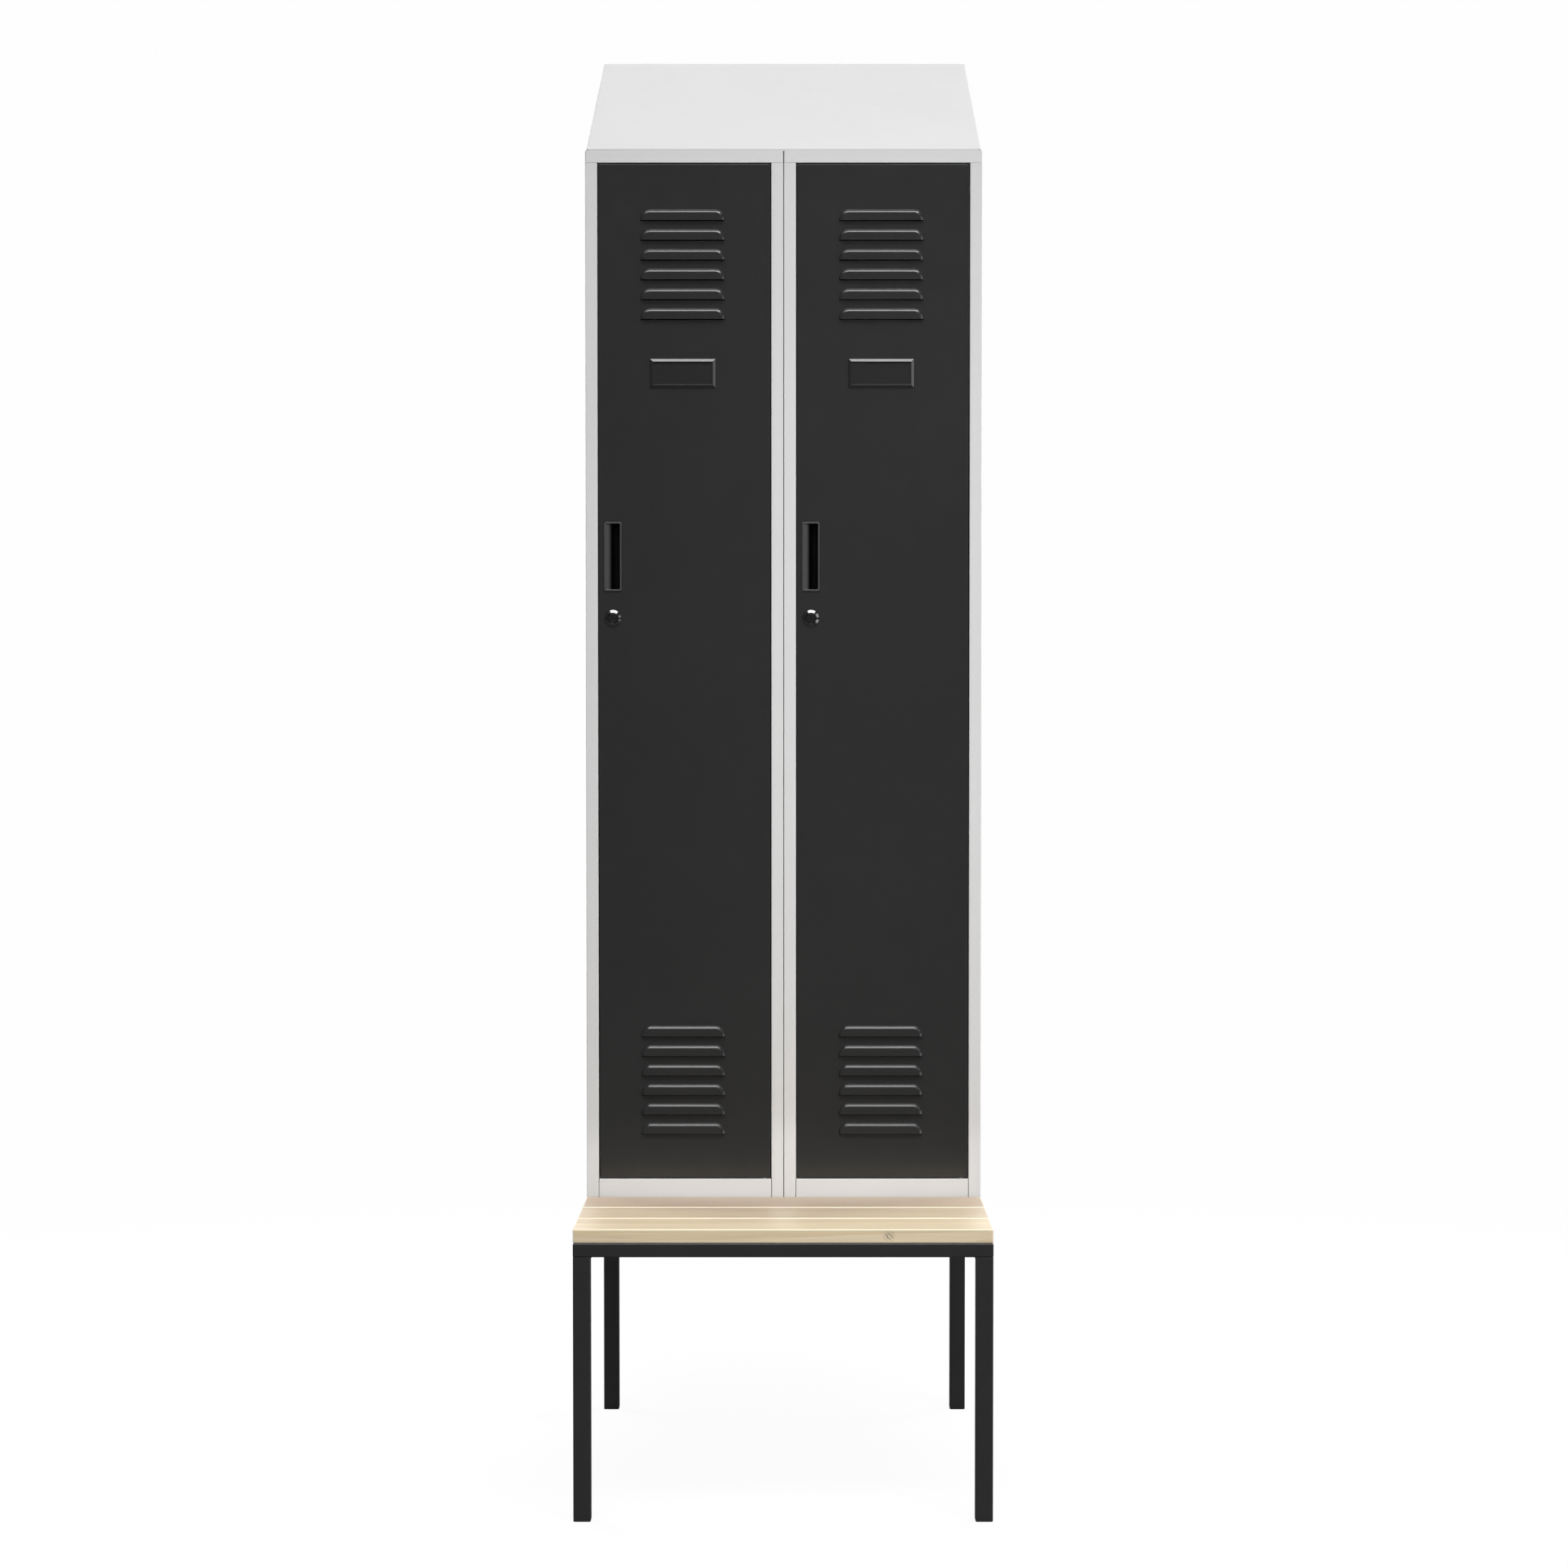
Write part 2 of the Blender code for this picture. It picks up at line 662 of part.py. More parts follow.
def door_mesh():
    """A sheet folded back along all four edges, and again to a return behind."""
    outline = rectangle((DOOR_LEFT, DOOR_LOW), (DOOR_RIGHT, DOOR_HIGH), DOOR_CORNER_RADIUS, 2)
    mouth_outline = rectangle((DOOR_LEFT, DOOR_LOW), (DOOR_RIGHT, DOOR_HIGH), DOOR_RETURN + BEND, 2)
    mouth = inset(mouth_outline, DOOR_RETURN)
    chamber = inset(outline, SHEET)
    edge = DOOR_CORNER_RADIUS * EDGE_SHARE
    return solid([
        *rounded_edge(outline, along_y, DOOR_RECESS, 1, edge, 2),
        along_y(outline, DOOR_BACK),
        along_y(mouth, DOOR_BACK),
        along_y(mouth, DOOR_BACK - SHEET),
        along_y(chamber, DOOR_BACK - SHEET),
        along_y(chamber, DOOR_RECESS + SHEET),
    ])


def door_cuts():
    """The louvres' hollows, and the holes for the handle, the lock and the two hinge pins."""
    bodies = [louvre_loops(FITTING_U, low, DOOR_RECESS, True) for low in louvre_lows()]
    near, far = DOOR_RECESS - OVERRUN, DOOR_RECESS + SHEET + OVERRUN
    half_width = HANDLE_WIDTH / 2 - HANDLE_FLANGE + HANDLE_WALL + FIT
    half_height = HANDLE_HEIGHT / 2 - HANDLE_FLANGE + HANDLE_WALL + FIT
    cup = rectangle(
        (LATCH_LINE - half_width, HANDLE_CENTRE - half_height),
        (LATCH_LINE + half_width, HANDLE_CENTRE + half_height),
        HANDLE_CORNER_RADIUS,
    )
    bodies.append([along_y(cup, near), along_y(cup, far)])
    barrel = circle(BARREL_RADIUS + FIT, TURNED_STEPS, (LATCH_LINE, LOCK_CENTRE))
    bodies.append([along_y(barrel, near), along_y(barrel, far)])
    ring = circle(PIN_RADIUS + FIT, PIN_STEPS, (HINGE_U, HINGE_V))
    for low, high in ((DOOR_LOW - SHEET, DOOR_LOW + 2 * SHEET), (DOOR_HIGH - 2 * SHEET, DOOR_HIGH + SHEET)):
        bodies.append([along_z(ring, low), along_z(ring, high)])
    return solid(*bodies)


def louvre_hoods():
    return solid(*[louvre_loops(FITTING_U, low, DOOR_RECESS, False) for low in louvre_lows()])


def stiffener_mesh():
    """A hat-shaped channel up the middle of the door, between the two groups of louvres."""
    half = STIFFENER_WIDTH / 2
    path = [
        (-half - STIFFENER_FLANGE, 0),
        (-half, 0),
        (-half, STIFFENER_DEPTH),
        (half, STIFFENER_DEPTH),
        (half, 0),
        (half + STIFFENER_FLANGE, 0),
    ]
    outline = folded(path, SHEET, BEND)
    low = LOUVRE_LOW + (LOUVRE_COUNT - 1) * LOUVRE_PITCH + LOUVRE_HEIGHT + STIFFENER_MARGIN
    high = LOUVRE_HIGH - (LOUVRE_COUNT - 1) * LOUVRE_PITCH - LOUVRE_HEIGHT - STIFFENER_MARGIN
    return solid([along_z(outline, low), along_z(outline, high)])


def label_mesh():
    """A frame with bevelled rim round a sunk field, back face at zero and front towards -v."""
    outer = rectangle((-LABEL_WIDTH / 2, -LABEL_HEIGHT / 2), (LABEL_WIDTH / 2, LABEL_HEIGHT / 2))
    inner = inset(outer, LABEL_BEVEL + LABEL_CREST)
    return solid([
        along_y(outer, 0),
        along_y(outer, -LABEL_EDGE),
        along_y(inset(outer, LABEL_BEVEL), -LABEL_THICKNESS),
        along_y(inner, -LABEL_THICKNESS),
        along_y(inner, LABEL_RECESS - LABEL_THICKNESS),
    ])


def handle_mesh():
    """A flanged cup. A curved ramp leads in from the left rim, then the cup drops to its floor."""
    half = (HANDLE_WIDTH / 2, HANDLE_HEIGHT / 2)
    flange = rectangle((-half[0], -half[1]), half, HANDLE_CORNER_RADIUS)
    half = (half[0] - HANDLE_FLANGE, half[1] - HANDLE_FLANGE)
    radius = HANDLE_CORNER_RADIUS - HANDLE_FLANGE / 4
    mouth = rectangle((-half[0], -half[1]), half, radius)
    ease = HANDLE_FLANGE_THICKNESS / 2
    bow = (HANDLE_SCOOP**2 + HANDLE_RAMP_DEPTH**2) / (2 * HANDLE_RAMP_DEPTH)
    slope = math.asin(HANDLE_SCOOP / bow)
    stations = []
    for k in range(SCOOP_STEPS + 1):
        angle = slope * (1 - k / SCOOP_STEPS)
        stations.append((HANDLE_SCOOP - bow * math.sin(angle), bow * (math.cos(angle) - math.cos(slope))))
    stations.append((HANDLE_SCOOP, HANDLE_DEPTH))
    scoop, shell = [], []
    for reach, depth in stations:
        draft = HANDLE_DRAFT * depth / HANDLE_DEPTH
        outline = rectangle((reach - half[0], draft - half[1]), (half[0] - draft, half[1] - draft), radius)
        scoop.append(along_y(outline, depth))
        shell.append(along_y(inset(outline, -HANDLE_WALL), depth + HANDLE_WALL))
    return solid([
        *reversed(shell),
        along_y(inset(mouth, -HANDLE_WALL), 0),
        along_y(flange, 0),
        along_y(flange, ease - HANDLE_FLANGE_THICKNESS),
        along_y(inset(flange, ease), -HANDLE_FLANGE_THICKNESS),
        along_y(inset(mouth, -ease), -HANDLE_FLANGE_THICKNESS),
        along_y(mouth, ease - HANDLE_FLANGE_THICKNESS),
        *scoop,
    ])


def housing_mesh():
    """The lock's bezel and barrel, bored through for the plug. Bezel back at zero, front towards -v."""
    rim = circle(BEZEL_RADIUS, TURNED_STEPS)
    crown = circle(PLUG_RADIUS + TURNING_GAP + BEZEL_LAND, TURNED_STEPS)
    barrel = circle(BARREL_RADIUS, TURNED_STEPS)
    bore = circle(PLUG_RADIUS + TURNING_GAP, TURNED_STEPS)
    rear = CAM_FRONT - DOOR_RECESS - TURNING_GAP
    return solid(
        [
            along_y(barrel, rear),
            along_y(barrel, 0),
            along_y(rim, 0),
            along_y(rim, -BEZEL_EDGE),
            along_y(crown, -BEZEL_THICKNESS),
            along_y(bore, -BEZEL_THICKNESS),
            along_y(bore, rear),
        ],
        closed=True,
    )


def nut_mesh():
    """A hexagon nut on the barrel, behind the sheet."""
    corner = NUT_WIDTH / math.sqrt(3)
    bore = circle(BARREL_RADIUS + FIT, TURNED_STEPS)
    sides = 6
    flats = []
    for k in range(TURNED_STEPS):
        angle = 2 * math.pi * k / TURNED_STEPS
        lean = angle % (2 * math.pi / sides) - math.pi / sides
        reach = corner * math.cos(math.pi / sides) / math.cos(lean)
        flats.append((reach * math.cos(angle), reach * math.sin(angle)))
    return solid(
        [along_y(flats, 0), along_y(flats, NUT_THICKNESS), along_y(bore, NUT_THICKNESS), along_y(bore, 0)],
        closed=True,
    )


def plug_mesh():
    """The turning plug: round through the housing, with a square end that drives the cam."""
    front = PLUG_SET_IN - BEZEL_THICKNESS
    rear = CAM_FRONT - DOOR_RECESS - TURNING_GAP
    barrel = circle(PLUG_RADIUS, TURNED_STEPS)
    boss = square_ring(PLUG_BOSS / 2, TURNED_STEPS)
    ease = PLUG_SET_IN
    return solid([
        along_y(inset(barrel, ease), front),
        along_y(barrel, front + ease),
        along_y(barrel, rear),
        along_y(boss, rear),
        along_y(boss, rear + TURNING_GAP + CAM_THICKNESS + PLUG_BOSS_OVERHANG),
    ])


def keyway_mesh():
    front = PLUG_SET_IN - BEZEL_THICKNESS
    return solid(block(
        (-KEYWAY_WIDTH / 2, front - OVERRUN, -KEYWAY_HEIGHT / 2),
        (KEYWAY_WIDTH / 2, front + KEYWAY_DEPTH, KEYWAY_HEIGHT / 2),
    ))


def cam_mesh():
    """A flat arm that hangs down when unlocked, with a square eye on the plug's end."""
    eye = square_ring(PLUG_BOSS / 2 + FIT, TURNED_STEPS)
    half = CAM_WIDTH / 2
    drop = CAM_LENGTH - CAM_WIDTH
    outline = [(x, z - drop if z < 0 else z) for x, z in circle(half, TURNED_STEPS)]
    near = CAM_FRONT - DOOR_RECESS
    far = near + CAM_THICKNESS
    return solid(
        [along_y(outline, near), along_y(outline, far), along_y(eye, far), along_y(eye, near)],
        closed=True,
    )


def add_door(name, locker, finishes):
    hinge = empty(f"{name}_door_hinge_axis", (HINGE_U, HINGE_V, 0), locker)
    corner = (-HINGE_U, -HINGE_V, 0)
    door = add(f"{name}_door", door_mesh(), finishes["door"], hinge, corner, 30)
    combine(door, louvre_hoods(), "UNION")
    combine(door, door_cuts(), "DIFFERENCE")

    def on_door(u, v, w):
        return (u - HINGE_U, v - HINGE_V, w)

    behind = DOOR_RECESS + SHEET + FIT
    proud = DOOR_RECESS - FIT
    stiffener_at = on_door(LOCKER_WIDTH / 2, behind, 0)
    add(f"{name}_door_stiffener", stiffener_mesh(), finishes["door"], hinge, stiffener_at, 30)
    label_at = on_door(FITTING_U, proud, LABEL_CENTRE)
    add(f"{name}_label_frame", label_mesh(), finishes["label"], hinge, label_at)
    handle_at = on_door(LATCH_LINE, proud, HANDLE_CENTRE)
    add(f"{name}_handle_cup", handle_mesh(), finishes["plastic"], hinge, handle_at, 40)
    lock_at = on_door(LATCH_LINE, proud, LOCK_CENTRE)
    add(f"{name}_lock_housing", housing_mesh(), finishes["lock"], hinge, lock_at, 30)
    nut_at = on_door(LATCH_LINE, behind, LOCK_CENTRE)
    add(f"{name}_lock_nut", nut_mesh(), finishes["steel"], hinge, nut_at, 30)
    turn = empty(f"{name}_lock_axis", on_door(LATCH_LINE, DOOR_RECESS, LOCK_CENTRE), hinge)
    plug = add(f"{name}_lock_plug", plug_mesh(), finishes["lock"], turn, (0, -FIT, 0), 30)
    combine(plug, keyway_mesh(), "DIFFERENCE")
    add(f"{name}_lock_cam", cam_mesh(), finishes["steel"], turn, (0, 0, 0), 30)


# Roof


def roof_end_mesh(under):
    """A tapering side wall, flanged inwards all round, that stands inside the cover's turned-down edge."""
    nose = ROOF_EDGE
    rear = CABINET_DEPTH - ROOF_SHEET - FIT
    bend = ROOF_EDGE_RADIUS - ROOF_SHEET
    outline = [(nose, FIT), (rear, FIT), (rear, under(rear) - bend), (nose, under(nose) - bend)]
    inner = inset(outline, ROOF_SHEET)
    return solid([
        along_x(outline, 0),
        along_x(outline, ROOF_FLANGE),
        along_x(inner, ROOF_FLANGE),
        along_x(inner, ROOF_SHEET),
    ])


def roof_back_mesh(half, under):
    """The upright back, flanged forwards, between the two ends and under the cover's rear lip."""
    face = CABINET_DEPTH - ROOF_SHEET - FIT
    top = under(face - ROOF_FLANGE) - FIT
    outline = rectangle((-half, FIT), (half, top))
    inner = inset(outline, ROOF_SHEET)
    return solid([
        along_y(outline, face),
        along_y(outline, face - ROOF_FLANGE),
        along_y(inner, face - ROOF_FLANGE),
        along_y(inner, face - ROOF_SHEET),
    ])


def add_roof(finish):
    """A cover with rounded, turned-down edges over two ends and a back, all standing on the lockers' tops."""
    half = WIDTH / 2 - ROOF_INSET
    lean = math.atan2(ROOF_RISE, CABINET_DEPTH)
    plumb_sheet = ROOF_SHEET / math.cos(lean)
    rise = ROOF_RISE - plumb_sheet

    def under(v):
        return rise * v / CABINET_DEPTH

    corner = empty("roof_front", (0, CABINET_FRONT, FRAME_TOP + CABINET_HEIGHT))
    edge = [(half, -ROOF_EDGE), (half, plumb_sheet), (-half, plumb_sheet), (-half, -ROOF_EDGE)]
    section = folded(edge, ROOF_SHEET, ROOF_EDGE_RADIUS)
    rear = CABINET_DEPTH - ROOF_SHEET / 2
    cover = solid([[(x, v, z + under(v) + FIT) for x, z in section] for v in (0, rear)])
    cover = add("roof_cover", cover, finish, corner, smooth=35)
    lip = block(
        (ROOF_SHEET / 2 - half, CABINET_DEPTH - ROOF_SHEET, under(CABINET_DEPTH) - ROOF_EDGE),
        (half - ROOF_SHEET / 2, CABINET_DEPTH, under(CABINET_DEPTH) + plumb_sheet / 2),
    )
    combine(cover, solid(lip), "UNION")
    below = block((-WIDTH, -OVERRUN, -ROOF_RISE), (WIDTH, CABINET_DEPTH + OVERRUN, FIT))
    combine(cover, solid(below), "DIFFERENCE")

    inside = half - ROOF_SHEET - FIT
    end = roof_end_mesh(under)
    add("roof_left_end", end, finish, corner, (-inside, 0, 0))
    right = add("roof_right_end", end.copy(), finish, corner, (inside, 0, 0))
    for corner_point in right.data.vertices:
        corner_point.co.x = -corner_point.co.x
    right.data.flip_normals()
    back = roof_back_mesh(inside - ROOF_FLANGE - FIT, under)
    add("roof_back", back, finish, corner)


def main():
    for thing in list(bpy.data.objects):
        bpy.data.objects.remove(thing)
    finishes = {
        "grey": material("light_grey_powder_coat", "D2D2D0", 0.45),
        "door": material("black_powder_coat", "2F2F2F", 0.5),
        "frame": material("black_frame_coat", "2B2B2B", 0.5),
        "wood": material("pale_varnished_wood", "DCC6A2", 0.45),
        "plastic": material("black_moulded_plastic", "1E1E1E", 0.4),
        "label": material("black_label_frame", "2A2A2A", 0.45),
        "lock": material("black_lock_metal", "0E0E0E", 0.15, 0.6),
        "steel": material("zinc_plated_steel", "B8BABC", 0.35, 1.0),
    }
    add_bench_frame(finishes["frame"], finishes["plastic"])
    add_slats(finishes["wood"])
    for k, name in enumerate(LOCKER_NAMES):
        locker = empty(f"{name}_locker_corner", (LEFT + k * LOCKER_WIDTH, CABINET_FRONT, FRAME_TOP))
        add_cabinet(name, locker, finishes)
        add_door(name, locker, finishes)
    add_roof(finishes["grey"])


main()
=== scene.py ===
"""The looks of a two-door clothes locker with a slatted bench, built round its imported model.

Everything is in metres, +Z up, with the doors and the bench facing -Y. Each button in the sidebar
builds one piece, or one group of like pieces, and hands it to the model's moving body that carries
it.
"""

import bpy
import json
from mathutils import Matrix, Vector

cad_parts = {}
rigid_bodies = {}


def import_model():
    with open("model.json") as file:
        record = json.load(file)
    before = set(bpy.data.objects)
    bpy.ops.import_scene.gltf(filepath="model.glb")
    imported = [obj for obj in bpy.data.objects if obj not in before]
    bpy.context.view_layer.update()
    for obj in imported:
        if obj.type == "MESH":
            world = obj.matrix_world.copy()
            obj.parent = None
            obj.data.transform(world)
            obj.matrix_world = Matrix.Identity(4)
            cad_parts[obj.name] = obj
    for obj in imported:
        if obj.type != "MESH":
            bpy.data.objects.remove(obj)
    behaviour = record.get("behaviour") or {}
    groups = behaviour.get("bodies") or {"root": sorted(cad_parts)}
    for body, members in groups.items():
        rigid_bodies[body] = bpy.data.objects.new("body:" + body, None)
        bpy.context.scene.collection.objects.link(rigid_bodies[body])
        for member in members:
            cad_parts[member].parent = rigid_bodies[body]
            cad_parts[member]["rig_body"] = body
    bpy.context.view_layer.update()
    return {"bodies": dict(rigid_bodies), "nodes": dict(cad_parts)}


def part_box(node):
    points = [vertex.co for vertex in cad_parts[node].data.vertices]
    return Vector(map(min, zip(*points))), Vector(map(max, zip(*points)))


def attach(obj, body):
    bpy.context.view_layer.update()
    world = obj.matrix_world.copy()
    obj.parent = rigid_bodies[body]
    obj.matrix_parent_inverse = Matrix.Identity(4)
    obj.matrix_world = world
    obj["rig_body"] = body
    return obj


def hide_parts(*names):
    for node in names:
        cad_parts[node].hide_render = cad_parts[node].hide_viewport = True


bl_info = {
    "name": "Locker with Bench",
    "version": (1, 0, 0),
    "blender": (4, 5, 0),
    "location": "View3D > Sidebar > Locker",
    "description": "Builds a louvred two-door clothes locker on a tube frame with a slatted bench",
    "category": "Add Mesh",
}

import json
import math
from functools import partial

import bmesh
import bpy
from bpy.props import FloatProperty, FloatVectorProperty, IntProperty, PointerProperty
from mathutils import Vector

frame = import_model()

SIDES = ("left", "right")
WALLS = (
    "cabinet_latch_side", "cabinet_hinge_side", "cabinet_back", "cabinet_floor", "cabinet_top",
    "hat_shelf"
)
FITTINGS = (
    "coat_rail", "coat_hook_latch_side", "coat_hook_hinge_side", "hinge_pin_lower",
    "hinge_pin_upper"
)
JOIN = 0.00002
ROOT = "cabinet_and_bench"
CUT_EDGE = math.radians(60)
EASED_EDGE = math.radians(32)
FLAT = math.radians(0.3)
NOISE = (0.3, 0.7)
WHITE = (1, 1, 1, 1)
HOOD_STEPS, FOLD_STEPS, RAMP_STEPS, RIVET_STEPS = 12, 4, 12, 4
FLOOR_RADIUS, FLOOR_SIDES = 60, 96
PIN_SIDES, BARREL_SIDES, BEZEL_SIDES, RIVET_SIDES = 20, 40, 72, 12


def linear(code):
    """An sRGB hex colour as linear red, green and blue."""
    parts = [int(code[k:k + 2], 16) / 255 for k in (1, 3, 5)]
    return tuple(p / 12.92 if p <= 0.04045 else ((p + 0.055) / 1.055) ** 2.4 for p in parts)


def number(name, description, default, **settings):
    return FloatProperty(name=name, description=description, default=default, **settings)


def length(name, description, default, **settings):
    return number(
        name, description, default, subtype="DISTANCE", unit="LENGTH", precision=4, **settings
    )


def size(name, description, default):
    return length(name, description, default, min=0)


def power(name, description, default):
    return number(name, description, default, unit="POWER", min=0)


def angle(name, description, degrees):
    return number(name, description, math.radians(degrees), subtype="ANGLE", unit="ROTATION")


def colour(name, description, code):
    return FloatVectorProperty(
        name=name, description=description, default=linear(code), min=0, max=1, subtype="COLOR",
        size=3
    )


class LockerSizes(bpy.types.PropertyGroup):
    """Sizes of what is built here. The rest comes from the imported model."""

    sheet: size("Sheet", "Thickness of the door sheet", 0.0008)
    bend: size("Bend", "Outer radius of the door's folds", 0.0013)
    door_depth: size("Door depth", "From the door's face to the back of its folded edge", 0.018)
    door_return: size("Door return", "Width of the lip folded in behind the door", 0.010)
    door_corner: size("Door corner", "Radius of the door's four corners", 0.0014)
    collar: size("Collar", "Width of the flat strip round each hole in the door's face", 0.0006)
    pin_radius: size("Pin radius", "Radius of the hinge pins", 0.0025)
    pin_clearance: size("Pin clearance", "Gap round each hinge pin", 0.0003)
    cup_edge: size(
        "Cup edge", "How far the handle's flange reaches past the hole in the sheet", 0.0011
    )
    cup_flange: size("Cup flange", "Width of the handle's flange", 0.0026)
    cup_flange_height: size("Cup flange height", "How far the handle's flange stands out", 0.0012)
    cup_wall: size("Cup wall", "Thickness of the handle's cup", 0.0012)
    cup_depth: size("Cup depth", "Depth of the handle's cup", 0.014)
    cup_ramp: size("Cup ramp", "Width of the ramp that leads into the handle's cup", 0.0125)
    cup_draft: size("Cup draft", "How far the handle's walls lean in", 0.0008)
    cup_corner: size("Cup corner", "Radius of the corners of the handle's hole", 0.0015)
    barrel_edge: size(
        "Barrel edge", "How far the lock's bezel reaches past the hole in the sheet", 0.0027
    )
    bezel_height: size("Bezel height", "How far the lock's bezel stands out", 0.0032)
    bezel_edge: size("Bezel edge", "Height of the bezel's straight outer edge", 0.0008)
    bezel_land: size("Bezel land", "Width of the flat strip round the lock's plug", 0.0003)
    bore_gap: size("Bore gap", "Gap round the lock's plug", 0.0004)
    barrel_gap: size("Barrel gap", "Gap round the lock's barrel in the door", 0.0003)
    louvre_rows: IntProperty(
        name="Louvre rows", description="Louvres in each group", default=6, min=1
    )
    louvre_pitch: size("Louvre pitch", "From one louvre to the next", 0.0297)
    louvre_width: size("Louvre width", "Width of one louvre", 0.127)
    louvre_height: size("Louvre height", "Height of one louvre", 0.0156)
    louvre_corner: size("Louvre corner", "Radius of the two upper corners", 0.0145)
    louvre_rise: size("Louvre rise", "How far a louvre stands out", 0.0045)
    louvre_draft: size("Louvre draft", "How far a louvre's wall leans in", 0.0012)
    louvre_bevel: size("Louvre bevel", "Width of the slope round a louvre's face", 0.0026)
    louvre_drop: size("Louvre drop", "How far that slope falls", 0.00147)
    louvre_foot: size("Louvre foot", "Radius of the fillet at a louvre's foot", 0.0005)
    louvre_slot: size("Louvre slot", "Height of the slot under a louvre's lip", 0.0011)
    louvre_from_top: size(
        "Louvres from the top", "From the door's top edge to the first louvre", 0.0692
    )
    louvre_from_bottom: size(
        "Louvres from the bottom", "From the door's bottom edge to the last louvre", 0.0674
    )
    louvre_shift: length(
        "Louvre shift", "How far the louvres sit right of the door's middle", -0.0024
    )
    label_slope: size("Label slope", "Width of the label frame's slope", 0.0042)
    label_recess: size("Label recess", "Depth of the label frame's field", 0.0022)
    label_edge: size("Label edge", "Height of the label frame's outer edge", 0.0006)
    slat_round: size("Slat rounding", "Radius of the slats' edges", 0.002)
    plug_round: size("Plug rounding", "Radius of the eased edges of the locks' plugs", 0.00015)
    wire_round: size("Wire rounding", "Radius of the eased edges of hooks, rails and pins", 0.0003)
    cast_round: size(
        "Cast rounding", "Radius of the eased edges of foot caps, nuts and cams", 0.0004
    )
    edge_round: size(
        "Edge rounding", "Radius of the eased edges of sheet metal and mouldings", 0.00022
    )
    fold_round: size("Fold rounding", "Radius of the cabinets' eased outer edges", 0.0007)
    roof_hem: size("Roof hem", "Height of the hem folded down under the roof's front edge", 0.0024)
    roof_hem_set_in: size(
        "Roof hem's set-in", "How far the hem lies behind the roof's front edge", 0.00015
    )
    rivet_radius: size("Rivet radius", "Radius of the blind rivets' heads", 0.0032)
    rivet_height: size("Rivet height", "Height of the blind rivets' heads", 0.0011)
    weld_radius: size("Weld radius", "Radius of the weld beads", 0.0016)
    seam_depth: size(
        "Seam depth", "How far the ground seams of the frame lie below its faces", 0.00006
    )
    tube_corner: size("Tube corner", "Radius of the frame tubes' long edges", 0.002)
    weld_pitch: size("Weld pitch", "From one ripple of a weld to the next", 0.0013)


class LockerFinishes(bpy.types.PropertyGroup):
    """Colours of the finishes."""

    cabinet: colour("Cabinet", "Light grey powder coat of the cabinets and the roof", "#D3D3D3")
    door: colour("Doors", "Black-grey powder coat of the doors", "#2A2A2A")
    bench: colour("Bench frame", "Black powder coat of the tube frame", "#282828")
    wood_pale: colour("Pale wood", "The soft early growth between the rings", "#EADABA")
    wood_dark: colour("Dark wood", "The hard late growth of the rings", "#CDB48A")
    wood_pink: colour("Wood blush", "The broad warmer patches of a board", "#D3BDA0")
    # Painted shade: the back board's tone stands for heartwood and for the cabinets' shadow on it.
    heartwood_and_shade: colour("Heartwood", "The darker, pinkish board at the back", "#A8907C")
    # Painted highlight: the edges' pale tone stands for sanded wood and for the highlight along
    # them.
    wood_edge_and_highlight: colour("Wood edges", "The edges, sanded round and paler", "#FFF3DA")
    knot: colour("Knot", "The grey streaks of a small pin knot", "#857B6C")
    plastic: colour("Handle", "Black textured plastic of the handle cups' rims", "#424242")
    # Painted shade: the black that darkens the handle cups' depths.
    pocket: colour("Handle's pocket", "Black polished plastic inside the handle cups", "#040404")
    label: colour("Label frame", "Black moulded plastic of the label frames", "#232323")
    foot: colour("Feet", "Black polyethylene of the foot caps", "#1B1B1B")
    lacquer: colour("Lock", "Black lacquer of the locks", "#060606")
    zinc: colour("Zinc", "Bright zinc plate of pins, nuts, cams, hooks and rails", "#B9BDC1")
    floor: colour("Floor", "The plain pale floor", "#F4F4F3")


class LockerStudio(bpy.types.PropertyGroup):
    """The camera and the lights."""

    lens: number("Lens", "Focal length in millimetres", 77.585, min=1)
    camera_x: length("Camera X", "Across", 0.01307)
    camera_y: length("Camera Y", "Along", -5.2104)
    camera_z: length("Camera Z", "Height", 1.1431)
    pitch: angle("Pitch", "How far the camera looks down", 1.984)
    shift_x: number("Shift X", "Lens shift across, as a share of the frame", -0.00528)
    shift_y: number("Shift Y", "Lens shift upwards, as a share of the frame", 0.035)
    top_light: power("Top light", "Power of the wide softbox straight above", 89)
    high_light: power("High light", "Power of the long softbox high in front", 2450)
    front_light: number("Front light", "Strength of the soft lamp in front", 0.8, min=0)
    front_width: angle("Front light's size", "How wide the front lamp looks from the piece", 40)
    right_light: power("Right light", "Power of each softbox on the right", 5.5)
    centre_light: power("Centre light", "Power of the tall soft spot on the right module", 335)
    centre_width: angle("Centre light's cone", "Width of the tall spot's cone", 9.4)
    back_light: power("Back light", "Power of the wide white wall behind", 150)
    flank_light: power("Flank lights", "Power of each softbox behind the piece, left and right", 40)
    low_light: power("Low light", "Power of the wide flat spot on the foot of the cabinets", 170)
    low_width: angle("Low light's cone", "Height of the flat spot's cone", 2)
    room: number("Room light", "Strength of the even light all round", 0.12, min=0)
    backdrop: number("Backdrop", "Brightness of the backdrop in the picture", 0.99, min=0)


def sizes():
    return bpy.context.scene.locker_sizes


def finishes():
    return bpy.context.scene.locker_finishes


def studio_settings():
    return bpy.context.scene.locker_studio


# Nodes and materials


